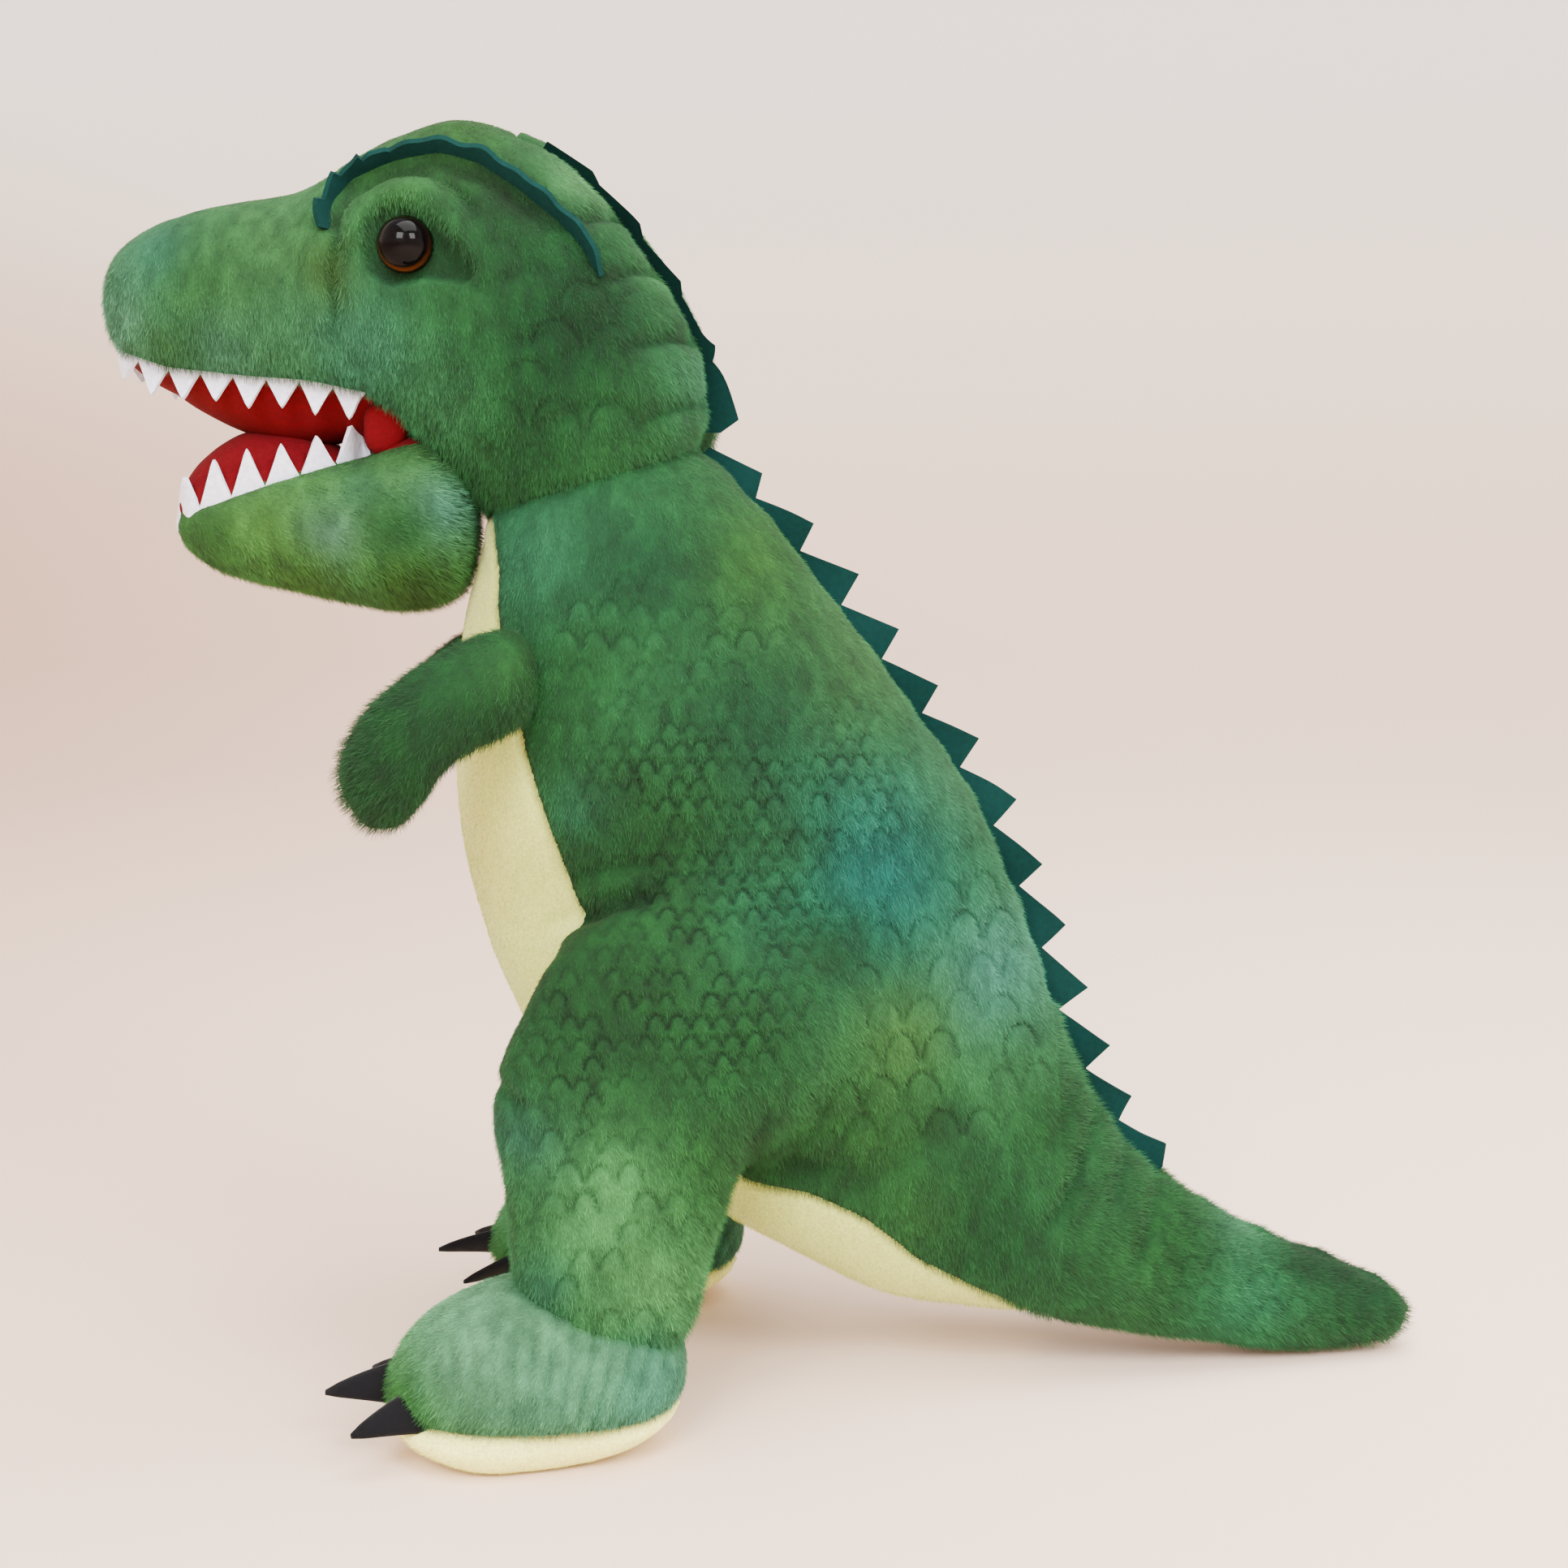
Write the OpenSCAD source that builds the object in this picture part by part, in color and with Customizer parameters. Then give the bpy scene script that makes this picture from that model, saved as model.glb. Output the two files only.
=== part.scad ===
// Stuffed toy tyrannosaur: short-pile plush skins over loose filling, with felt spikes, teeth and claws.
// It faces -X and its left side is at -Y. The floor is Z = 0.

/* [Fabric] */
// Thickness of the plush skins
skin_t = 2; // [1.5:0.1:3]
// Thickness of the felt strips
felt_t = 1.4; // [1:0.1:2]
// Gap between a felt strip and the panels on either side of it
seam_gap = 0.25; // [0.2:0.05:0.5]
// Gap between the filling and the lining of the skin
fill_gap = 1.5; // [1.4:0.1:2.5]
// Squareness of the stuffed sections, where 2 is an ellipse
squareness = 2.3; // [2:0.1:2.6]
// Points round one stuffed section
ring_n = 20; // [12:4:28]

/* [Joints] */
// Gap between two bodies where they turn on each other
joint_gap = 0.6; // [0.5:0.1:1.5]
// Radius of the round joint face at the root of the tail
tail_joint_r = 27; // [26:0.5:28]

/* [Trim] */
// Teeth of felt down the back
back_teeth = 13; // [9:1:17]
// Height of the felt teeth on the back
back_tooth_h = 9; // [6:0.5:11]
// Felt teeth on the head, behind the crown
head_teeth = 4; // [3:1:6]
// Height of the felt teeth on the head
head_tooth_h = 4.5; // [3:0.5:6]
// Felt teeth on each side of the upper jaw
upper_teeth_side = 8; // [6:1:10]
// Felt teeth on each side of the lower jaw
lower_teeth_side = 7; // [5:1:9]
// Length of a mouth tooth
tooth_len = 8; // [6:0.5:9]
// Diameter of the glass-look safety eyes
eye_d = 12; // [10:1:14]
// Length of a claw outside the foot
claw_len = 15; // [10:1:18]

/* [Stance] */
// Distance of each foot's centre from the middle plane
foot_y = 50; // [48:1:52]
// How far the right foot stands behind the left one
right_foot_back = 16; // [0:1:18]
// Thickness of the padded sole
sole_h = 9; // [6:0.5:10]

/* [Hidden] */

light_green = [0.49, 0.66, 0.44];
mid_green = [0.25, 0.49, 0.28];
dark_green = [0.18, 0.38, 0.20];
felt_green = [0.0, 0.42, 0.36];
felt_white = [0.90, 0.90, 0.95];
felt_black = [0.08, 0.08, 0.11];
lining_red = [0.78, 0.06, 0.08];
pale_yellow = [0.94, 0.90, 0.68];
fill_white = [0.93, 0.93, 0.92];

// A station is [front x, front z, back x, back z, half width, y of the centre].
// Body from the neck seam down to the root of the tail; the last one is cut to the tail's joint face.
body_stations = [
    [-72, 203.3, -22, 218.3, 33], [-76, 184, -4, 199, 38], [-77, 164, 15, 174, 43],
    [-78, 147, 33, 150, 46], [-77.5, 132, 43, 135, 44], [-75.5, 119, 50, 120, 33.4],
    [-71, 103, 57, 102, 33.4], [-62, 83, 62, 84, 33.4], [-45, 60, 69, 69, 33],
    [-18, 41, 76, 58, 31.5], [16, 22, 82, 50.5, 28], [50, 14, 86, 46.5, 25.4],
    [89, 6, 89, 44.5, 23.5]];
tail_stations = [
    [89, 6, 89, 44.5, 23.5], [97, 4, 96, 38.5, 19.5], [108, 2, 109, 31.5, 16], [120, 0.6, 122, 27, 13.5],
    [134, 0, 137, 21.5, 11], [147, 0, 149, 17, 8.5], [155.5, 3, 156.5, 12, 4.5], [157.9, 6, 158, 9, 1.5]];
// Head from the neck seam round the back of the skull and along the snout: front here is the underside.
head_stations = [
    [-72, 204, -22, 219, 33], [-75, 207, -20, 235, 36], [-79, 211, -26, 250, 38],
    [-84, 216, -38, 268, 39.5], [-88, 220, -54, 285, 39], [-92, 224, -75, 292.5, 36.5],
    [-99, 227, -94, 285, 31.5], [-111, 228, -109, 275.5, 28], [-125, 229, -126, 273, 25.5],
    [-139, 232, -143, 269, 22.5], [-151, 237, -153.5, 262, 16.5], [-157, 246, -158, 252, 6]];
jaw_stations = [
    [-142.5, 199, -142.5, 205, 6], [-138, 194.5, -138, 209, 14], [-130, 190, -128, 213.5, 19.5],
    [-118, 187, -114, 216, 23.5], [-103, 184, -102, 217, 26], [-90, 182, -94, 216, 27.5],
    [-81, 184, -88, 211, 27], [-77.5, 190, -82, 204, 22]];
leg_stations = [
    [-48, 114, -8, 114, 7, 43.5], [-61, 104, 5, 104, 11.2, 45.8], [-66, 92, 9, 90, 13.2, 47.8],
    [-70, 78, 3, 76, 14.2, 48.8], [-67, 64, -11, 66, 14.7, 49.3], [-66, 50, -20, 50, 16.5, 50],
    [-64, 36, -27, 22, 17.8, 50]];
foot_stations = [
    [-92, 9.3, -30, 9.3, 22, 50], [-93, 15, -28, 13, 22.5, 50], [-90, 22, -27, 16.5, 22, 50],
    [-83, 28.5, -26.5, 19, 20.5, 50], [-74, 33, -26.8, 20.4, 19, 50], [-64.2, 35.3, -27.2, 21.3, 17.4, 50]];
// Arm centre line from the shoulder to the paw, on the left: [x, y, z, radius]
arm_path = [[-61, 41.6, 168, 11], [-66, 49, 168, 11.5], [-77, 53, 163.5, 10.7],
            [-87, 53, 156, 10.5], [-91, 52, 148, 10.5], [-91.5, 51, 140, 6], [-91.5, 51, 138, 2.5]];
// Brow line on the left, from in front of the eye to behind it: [x, y, z]
brow_path = [[-104, 24, 266], [-103, 21, 271], [-97, 19, 278], [-87, 21, 282], [-78, 26, 282.5],
             [-69, 27, 279.5], [-60, 30, 273], [-52, 30, 267], [-47, 30, 261], [-44, 30, 255]];

belly_half_angle = 42;
palate_half_angle = 52;
lining_half_angle = 60;
eye_at = [-86, 35, 261];
hip_z = 88;
ankle_z = 36;
tail_axis_x = 89 - tail_joint_r;
stem_r = 1.6;
washer_r = 8;

function total(v) = v * [for (x = v) 1];
function unit(v) = v / norm(v);
function power(v) = sign(v) * pow(abs(v), 2 / squareness);

// A point of a stuffed section at angle t, where 0 is its front, drawn in by d
function section_point(s, t, d) =
    let (f = [s[0], s[1]], b = [s[2], s[3]], c = (f + b) / 2, half = norm(f - b) / 2, u = (f - b) / norm(f - b),
         a = max(half - d, 0.4) * power(cos(t)), w = max(s[4] - d, 0.4) * power(sin(t)),
         centre_y = len(s) > 5 ? s[5] : 0)
    [c[0] + a * u[0], centre_y + w, c[1] + a * u[1]];

// Closed section of the filling
function full_ring(s, d) = [for (i = [0 : ring_n - 1]) section_point(s, -90 + (i + 0.5) * 360 / ring_n, d)];

// Section of a skin from angle t0 to angle t1: out along its face and back along its lining
function skin_ring(s, t0, t1, n) = concat(
    [for (i = [0 : n]) section_point(s, t0 + (t1 - t0) * i / n, 0)],
    [for (i = [n : -1 : 0]) section_point(s, t0 + (t1 - t0) * i / n, skin_t)]);

// Angle at which a side skin stops short of the middle plane, to leave room for the felt strip
function spine_angle(s) = 180 - 2 * asin(min(1, (felt_t / 2 + seam_gap) / s[4]));

// The tail's joint face: points past its axis lie on an upright cylinder of radius r
function joint_x(y, r) = tail_axis_x + sqrt(r * r - y * y);
function on_joint(ring, r) = [for (p = ring) [joint_x(p[1], r), p[1], p[2]]];

// Point i of a curved tube's path, the way it runs there, and a point round it at radius r and angle a
function tube_centre(p, i) = [p[i][0], p[i][1], p[i][2]];
function tube_dir(p, i) = i == 0 ? [0, 1, 0] : unit(tube_centre(p, min(i + 1, len(p) - 1)) - tube_centre(p, i - 1));
function tube_point(p, i, r, a) =
    let (t = tube_dir(p, i), side = unit(cross(t, [0, 0.05, 1])), up = cross(side, t))
    tube_centre(p, i) + r * (cos(a) * side + sin(a) * up);

// Sections of a tube's filling and of its skin, whose seam is the gap between the first and the last angle
function tube_filling_ring(p, i, d, n) =
    [for (k = [0 : n - 1]) tube_point(p, i, max(p[i][3] - d, 0.4), (k + 0.5) * 360 / n)];
function tube_skin_ring(p, i, n) = concat(
    [for (k = [0 : n]) tube_point(p, i, p[i][3], k * 358 / n)],
    [for (k = [n : -1 : 0]) tube_point(p, i, max(p[i][3] - skin_t, 0.5), k * 358 / n)]);

// The point a share s of the way along a polyline
function lengths(p) = [for (i = [0 : len(p) - 2]) norm(p[i + 1] - p[i])];
function along(p, s) =
    let (l = lengths(p), goal = s * total(l),
         before = [for (i = 0, a = 0; i < len(l); a = a + l[i], i = i + 1) a],
         i = max([for (k = [0 : len(l) - 1]) before[k] <= goal + 1e-6 ? k : 0]), f = min(1, (goal - before[i]) / l[i]))
    p[i] + f * (p[i + 1] - p[i]);

// A solid through closed rings of equal count, whose ends are closed by strips between opposite points
module loft(rings) {
    n = len(rings[0]);
    m = len(rings);
    points = [for (r = rings) each r];
    sides = [for (k = [0 : m - 2], i = [0 : n - 1])
        let (a = k * n + i, b = k * n + (i + 1) % n) each [[a, b, b + n], [a, b + n, a + n]]];
    ends = [for (i = [0 : n / 2 - 2])
        let (a = i, b = i + 1, c = n - 2 - i, d = n - 1 - i, e = (m - 1) * n)
        each [[d, c, b], [d, b, a], [a + e, b + e, c + e], [a + e, c + e, d + e]]];
    faces = concat(sides, ends);
    inside_out = total([for (f = faces) points[f[0]] * cross(points[f[1]], points[f[2]])]) > 0;
    polyhedron(points, inside_out ? [for (f = faces) [f[2], f[1], f[0]]] : faces);
}

// A flat felt part in the middle plane
module felt(outline) {
    translate([0, felt_t / 2, 0]) rotate([90, 0, 0]) linear_extrude(felt_t) polygon(outline);
}

// A felt strip along a line: teeth of height h lean away from its start, and its root goes in by depth
module spike_strip(line, teeth, h, depth) {
    marks = [for (i = [0 : teeth]) along(line, i / teeth)];
    out = [for (i = [0 : teeth])
        let (d = unit(marks[min(i + 1, teeth)] - marks[max(i - 1, 0)])) [-d[1], d[0]]];
    crest = [for (i = [0 : teeth - 1])
        let (taper = min(1, 0.65 + 0.35 * min(i, teeth - 1 - i) / 2), d = unit(marks[i + 1] - marks[i]))
        each [marks[i] + 1.2 * out[i], marks[i + 1] + h * taper * out[i + 1] - 1.5 * d]];
    root = [for (i = [teeth : -1 : 0]) marks[i] - depth * out[i]];
    felt(concat(crest, [marks[teeth] + 0.8 * out[teeth]], root));
}

// A row of felt mouth teeth along a lip: each ring is a rectangle, long at a tip and short at a notch
module tooth_row(lip, teeth, dir, out) {
    loft([for (i = [0 : 2 * teeth])
        let (p = along(lip, i / (2 * teeth)), reach = (i % 2 == 1 ? tooth_len : 1.6) * dir, o = out)
        [p - [0, 0, 2 * dir], p + [0, o, -2 * dir], p + [0, o, reach], p + [0, 0, reach]]]);
}

// Leg stations with the ankle moved back, and the share of that move at height z
function foot_share(z) = max(0, min(1, (hip_z - z) / (hip_z - ankle_z)));
function shifted(stations, back) = [for (s = stations)
    [s[0] + back * foot_share(s[1]), s[1], s[2] + back * foot_share(s[3]), s[3], s[4], s[5]]];
function body_ring(k, ring) = k == len(body_stations) - 1 ? on_joint(ring, tail_joint_r) : ring;
function tail_ring(k, ring) = k == 0 ? on_joint(ring, tail_joint_r + joint_gap) : ring;

module body_side() {
    loft([for (k = [0 : len(body_stations) - 1])
        body_ring(k, skin_ring(body_stations[k], belly_edge(k) + 0.6, spine_angle(body_stations[k]), 8))]);
}
// The belly panel is widest at the waist and runs to a point under the tail
function belly_edge(k) = belly_half_angle * (k < 2 ? 0.75 + 0.12 * k : k > 8 ? max(0.25, (13 - k) / 5) : 1);

module body_skin_left() color(mid_green) mirror([0, 1, 0]) body_side();
module body_skin_right() color(mid_green) body_side();

module belly_panel() color(pale_yellow)
    loft([for (k = [0 : len(body_stations) - 1])
        body_ring(k, skin_ring(body_stations[k], -belly_edge(k), belly_edge(k), 6))]);

module body_stuffing() color(fill_white)
    loft([for (k = [0 : len(body_stations) - 1])
        body_ring(k, full_ring(body_stations[k], skin_t + fill_gap))]);

module back_spikes() color(felt_green)
    spike_strip([for (s = [for (k = [0 : len(body_stations) - 2]) body_stations[k]]) [s[2], s[3]]],
                back_teeth, back_tooth_h, skin_t);

module tail_side() {
    loft([for (k = [0 : len(tail_stations) - 1])
        tail_ring(k, skin_ring(tail_stations[k], 0.6, 179.4, 8))]);
}
module tail_skin_left() color(dark_green) mirror([0, 1, 0]) tail_side();
module tail_skin_right() color(dark_green) tail_side();

module tail_stuffing() color(fill_white)
    loft([for (k = [0 : len(tail_stations) - 3])
        tail_ring(k, full_ring(tail_stations[k], skin_t + fill_gap))]);

// The palate starts at the corner of the mouth and widens along the snout
function palate_edge(k) = k < 5 ? 0 : palate_half_angle * min(1, (k - 4) / 2);

module head_side() {
    difference() {
        loft([for (k = [0 : len(head_stations) - 1])
            skin_ring(head_stations[k], palate_edge(k) + 0.6, spine_angle(head_stations[k]), 8)]);
        translate(eye_at) rotate([90, 0, 0]) cylinder(h = 20, r = stem_r, center = true, $fn = 32);
    }
}
module head_skin_left() color(mid_green) mirror([0, 1, 0]) head_side();
module head_skin_right() color(mid_green) head_side();

module palate_lining() color(lining_red)
    loft([for (k = [5 : len(head_stations) - 1])
        skin_ring(head_stations[k], -palate_edge(k), palate_edge(k), 6)]);

module head_stuffing() color(fill_white)
    loft([for (k = [0 : len(head_stations) - 2]) full_ring(head_stations[k], skin_t + fill_gap)]);

module head_spikes() color(felt_green)
    spike_strip([[-57, 286.5], [-46, 277], [-38, 268], [-26, 250], [-20, 235], [-21, 225]],
                head_teeth, head_tooth_h, skin_t);

upper_lip = [[-153, 11, 241], [-148, 15, 239.5], [-139, 18.5, 238], [-125, 21, 236.5], [-111, 23, 236],
             [-97, 25.5, 236.5]];
lower_lip = [[-141.5, 8, 204.5], [-138, 12.5, 206], [-130, 17, 208], [-118, 20.5, 209.5], [-104, 23, 210],
             [-93, 24, 210]];

module upper_teeth_right() color(felt_white) tooth_row(upper_lip, upper_teeth_side, -1, felt_t);
module upper_teeth_left() color(felt_white) mirror([0, 1, 0]) tooth_row(upper_lip, upper_teeth_side, -1, felt_t);
module lower_teeth_right() color(felt_white) tooth_row(lower_lip, lower_teeth_side, 1, felt_t);
module lower_teeth_left() color(felt_white) mirror([0, 1, 0]) tooth_row(lower_lip, lower_teeth_side, 1, felt_t);

module brow_strip() {
    loft([for (i = [0 : len(brow_path) - 1])
        let (p = brow_path[i])
        [p + [0, 0, -1.8], p + [0, felt_t, -2.4], p + [0, felt_t + 0.8, 1.6], p + [0, 0.8, 2]]]);
}
module brow_strip_right() color(felt_green) brow_strip();
module brow_strip_left() color(felt_green) mirror([0, 1, 0]) brow_strip();

// A domed eye on a stem that goes through the skin
module eye() {
    dome_r = eye_d / 2;
    translate(eye_at) rotate([-90, 0, 0]) {
        rotate_extrude($fn = 48) intersection() {
            circle(r = dome_r, $fn = 48);
            square([dome_r + 1, dome_r + 1]);
        }
        translate([0, 0, -9]) cylinder(h = 9.5, r = stem_r - 0.1, $fn = 32);
    }
}
module eye_right() color(felt_black) eye();
module eye_left() color(felt_black) mirror([0, 1, 0]) eye();

module eye_washer() {
    translate(eye_at + [0, -6.4, 0]) rotate([90, 0, 0]) difference() {
        cylinder(h = 1.6, r = washer_r, $fn = 48);
        translate([0, 0, -1]) cylinder(h = 4, r = stem_r, $fn = 32);
    }
}
module eye_washer_right() color("white") eye_washer();
module eye_washer_left() color("white") mirror([0, 1, 0]) eye_washer();

module jaw_skin() color(light_green)
    loft([for (s = jaw_stations) skin_ring(s, -180 + lining_half_angle, 180 - lining_half_angle, 12)]);

module mouth_lining() color(lining_red)
    loft([for (s = jaw_stations) skin_ring(s, 180.6 - lining_half_angle, 179.4 + lining_half_angle, 6)]);

module jaw_stuffing() color(fill_white)
    loft([for (k = [1 : len(jaw_stations) - 1]) full_ring(jaw_stations[k], skin_t + fill_gap)]);

arm_last = len(arm_path) - 1;
module arm_shell() loft([for (i = [0 : arm_last]) tube_skin_ring(arm_path, i, 16)]);
module arm_filling()
    loft([for (i = [0 : arm_last - 1]) tube_filling_ring(arm_path, i, skin_t + fill_gap, 16)]);
module arm_skin_right() color(dark_green) arm_shell();
module arm_skin_left() color(dark_green) mirror([0, 1, 0]) arm_shell();
module arm_stuffing_right() color(fill_white) arm_filling();
module arm_stuffing_left() color(fill_white) mirror([0, 1, 0]) arm_filling();

module leg_shell(back) loft([for (s = shifted(leg_stations, back)) skin_ring(s, 1, 359, ring_n)]);
module leg_filling(back) loft([for (s = shifted(leg_stations, back)) full_ring(s, skin_t + fill_gap)]);
module leg_skin_left() color(mid_green) mirror([0, 1, 0]) leg_shell(0);
module leg_stuffing_left() color(fill_white) mirror([0, 1, 0]) leg_filling(0);
module leg_skin_right() color(mid_green) leg_shell(right_foot_back);
module leg_stuffing_right() color(fill_white) leg_filling(right_foot_back);

module foot_shell() loft([for (s = foot_stations) skin_ring(s, 1, 359, ring_n)]);
module foot_filling() loft([for (s = foot_stations) full_ring(s, skin_t + fill_gap)]);

// A padded sole: a flat bottom with a wider rim above it
module sole() {
    module outline(inset) {
        hull() {
            translate([-70, foot_y]) circle(r = 21.5 - inset, $fn = 48);
            translate([-47, foot_y]) circle(r = 17 - inset, $fn = 48);
        }
    }
    linear_extrude(3) outline(3);
    translate([0, 0, 3]) linear_extrude(sole_h - 3) outline(0);
}

// One felt claw, flat and pointed, with its root in the foot
module claw(at, turn) {
    translate(at) rotate([0, 0, turn])
        loft([for (s = [[-4, 3.6], [0, 3.8], [0.45 * claw_len, 2.8], [claw_len, 0.5]])
            [for (a = [-90 + 22.5 : 45 : 270]) [-s[0], s[1] * sin(a), 0.6 * s[1] * cos(a)]]]);
}
module claws() {
    claw([-91.5, foot_y, 14], 0);
    claw([-85.5, foot_y + 15, 12], -32);
    claw([-85.5, foot_y - 15, 12], 32);
}

module left_foot() mirror([0, 1, 0]) children();
module right_foot() translate([right_foot_back, 0, 0]) children();
module foot_upper_left() color(light_green) left_foot() foot_shell();
module foot_stuffing_left() color(fill_white) left_foot() foot_filling();
module sole_left() color(pale_yellow) left_foot() sole();
module claws_left() color(felt_black) left_foot() claws();
module foot_upper_right() color(light_green) right_foot() foot_shell();
module foot_stuffing_right() color(fill_white) right_foot() foot_filling();
module sole_right() color(pale_yellow) right_foot() sole();
module claws_right() color(felt_black) right_foot() claws();

body_skin_left();
body_skin_right();
belly_panel();
body_stuffing();
back_spikes();
tail_skin_left();
tail_skin_right();
tail_stuffing();
head_skin_left();
head_skin_right();
palate_lining();
head_stuffing();
head_spikes();
upper_teeth_left();
upper_teeth_right();
brow_strip_left();
brow_strip_right();
eye_left();
eye_right();
eye_washer_left();
eye_washer_right();
jaw_skin();
mouth_lining();
jaw_stuffing();
lower_teeth_left();
lower_teeth_right();
arm_skin_left();
arm_stuffing_left();
arm_skin_right();
arm_stuffing_right();
leg_skin_left();
leg_stuffing_left();
leg_skin_right();
leg_stuffing_right();
foot_upper_left();
foot_stuffing_left();
sole_left();
claws_left();
foot_upper_right();
foot_stuffing_right();
sole_right();
claws_right();
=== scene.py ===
import bpy
import math
import numpy as np
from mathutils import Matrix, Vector


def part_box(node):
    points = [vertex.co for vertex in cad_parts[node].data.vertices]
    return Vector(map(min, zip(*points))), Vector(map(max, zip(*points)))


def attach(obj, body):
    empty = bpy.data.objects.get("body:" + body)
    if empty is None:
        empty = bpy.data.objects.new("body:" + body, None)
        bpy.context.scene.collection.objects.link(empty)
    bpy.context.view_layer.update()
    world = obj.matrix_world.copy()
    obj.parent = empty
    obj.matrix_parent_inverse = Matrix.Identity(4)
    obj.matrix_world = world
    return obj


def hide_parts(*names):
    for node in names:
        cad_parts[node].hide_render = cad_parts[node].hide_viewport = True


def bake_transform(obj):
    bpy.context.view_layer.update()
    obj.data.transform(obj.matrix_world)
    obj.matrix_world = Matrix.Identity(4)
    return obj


# Stuffed tyrannosaur: the plush skins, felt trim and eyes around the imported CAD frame.
# Forms are worked out in millimetres as numpy arrays, and put into Blender in metres.

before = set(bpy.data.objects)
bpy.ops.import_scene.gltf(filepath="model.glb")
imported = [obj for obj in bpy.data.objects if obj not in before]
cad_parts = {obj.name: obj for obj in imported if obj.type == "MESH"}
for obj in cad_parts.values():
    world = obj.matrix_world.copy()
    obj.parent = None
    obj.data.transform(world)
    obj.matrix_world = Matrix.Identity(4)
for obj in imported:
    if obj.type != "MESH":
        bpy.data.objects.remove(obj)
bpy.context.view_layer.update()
MM = 0.001

SKIN = 4.0            # from the CAD filling to the face of the plush
BODY_VOXEL = 3.2      # remesh size of the body before it is subdivided
SMALL_VOXEL = 2.0     # the same on heads, arms and feet
FELT = 1.3            # thickness of the felt

# ---------------------------------------------------------------- camera


def node_box(node):
    """Lowest and highest corner of a CAD node in millimetres."""
    lo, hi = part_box(node)
    return np.array(lo) / MM, np.array(hi) / MM


def add_camera():
    """Level with the chest and a little in front of square on, as a close hand-held shot."""
    target = Vector((-0.003, 0, 0.14))
    distance = 0.574
    turn = math.radians(-3.0)
    rise = math.radians(7.0)
    back = Vector((math.sin(turn) * math.cos(rise), -math.cos(turn) * math.cos(rise), math.sin(rise)))
    data = bpy.data.cameras.new("camera")
    data.lens, data.sensor_width = 55.9, 36
    data.clip_start, data.clip_end = 0.01, 20
    cam = bpy.data.objects.new("camera", data)
    bpy.context.scene.collection.objects.link(cam)
    cam.location = target + back * distance
    cam.rotation_mode = "QUATERNION"
    cam.rotation_quaternion = (-back).to_track_quat("-Z", "Y")
    bpy.context.scene.camera = cam


add_camera()

# ---------------------------------------------------------------- mesh tools


def arrays(mesh):
    """Vertices in the mesh's own units and quads (a triangle repeats its last corner)."""
    v = np.zeros(len(mesh.vertices) * 3)
    mesh.vertices.foreach_get("co", v)
    sizes = np.zeros(len(mesh.polygons), int)
    mesh.polygons.foreach_get("loop_total", sizes)
    loops = np.zeros(len(mesh.loops), int)
    mesh.loops.foreach_get("vertex_index", loops)
    starts = np.concatenate([[0], np.cumsum(sizes)[:-1]])
    f = np.stack([loops[starts + np.minimum(k, sizes - 1)] for k in range(4)], 1)
    return v.reshape(-1, 3), f


def raw_mesh(name, v, f):
    """A mesh from vertices and quads, with triangles where a corner repeats."""
    mesh = bpy.data.meshes.new(name)
    mesh.from_pydata(v.tolist(), [], [q[:3] if q[2] == q[3] else q for q in f.tolist()])
    mesh.update()
    return mesh


def through(v, f, **modifiers):
    """The shape after some modifiers, each given as TYPE={property: value}."""
    obj = bpy.data.objects.new("work", raw_mesh("work", v, f))
    bpy.context.scene.collection.objects.link(obj)
    for kind, settings in modifiers.items():
        m = obj.modifiers.new(kind, kind)
        for key, value in settings.items():
            setattr(m, key, value)
    done = obj.evaluated_get(bpy.context.evaluated_depsgraph_get()).to_mesh()
    out = arrays(done)
    mesh = obj.data
    bpy.data.objects.remove(obj)
    bpy.data.meshes.remove(mesh)
    return out


def remesh(v, f, voxel):
    return through(v, f, REMESH={"mode": "VOXEL", "voxel_size": voxel, "adaptivity": 0.0})


def subdivide(v, f, levels):
    return through(v, f, SUBSURF={"levels": levels, "subdivision_type": "CATMULL_CLARK"})


def edges_of(f):
    e = np.concatenate([f[:, [0, 1]], f[:, [1, 2]], f[:, [2, 3]], f[:, [3, 0]]])
    e = np.sort(e[e[:, 0] != e[:, 1]], 1)
    return np.unique(e, axis=0)


def normals(v, f):
    d1, d2 = v[f[:, 2]] - v[f[:, 0]], v[f[:, 3]] - v[f[:, 1]]
    n = np.cross(d1, d2)
    out = np.stack([np.bincount(f.ravel(), np.repeat(n[:, k], 4), len(v)) for k in range(3)], 1)
    return out / np.maximum(np.linalg.norm(out, axis=1), 1e-9)[:, None]


def smooth(v, f, rounds, share=0.5, keep=True):
    """Laplacian smoothing; keep=True alternates with a push back, so the form doesn't shrink."""
    e = edges_of(f)
    a, b = np.concatenate([e[:, 0], e[:, 1]]), np.concatenate([e[:, 1], e[:, 0]])
    count = np.maximum(np.bincount(a, minlength=len(v)), 1)[:, None]
    for i in range(rounds):
        mean = np.stack([np.bincount(a, v[b, k], len(v)) for k in range(v.shape[1])], 1) / count
        v = v + (mean - v) * (-share * 1.03 if keep and i % 2 else share)
    return v


def cad_mesh(*nodes):
    """Several CAD nodes as one set of arrays, in millimetres."""
    vs, fs, base = [], [], 0
    for n in nodes:
        v, f = arrays(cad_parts[n].data)
        vs.append(v / MM)
        fs.append(f + base)
        base += len(v)
    return np.concatenate(vs), np.concatenate(fs)


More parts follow.
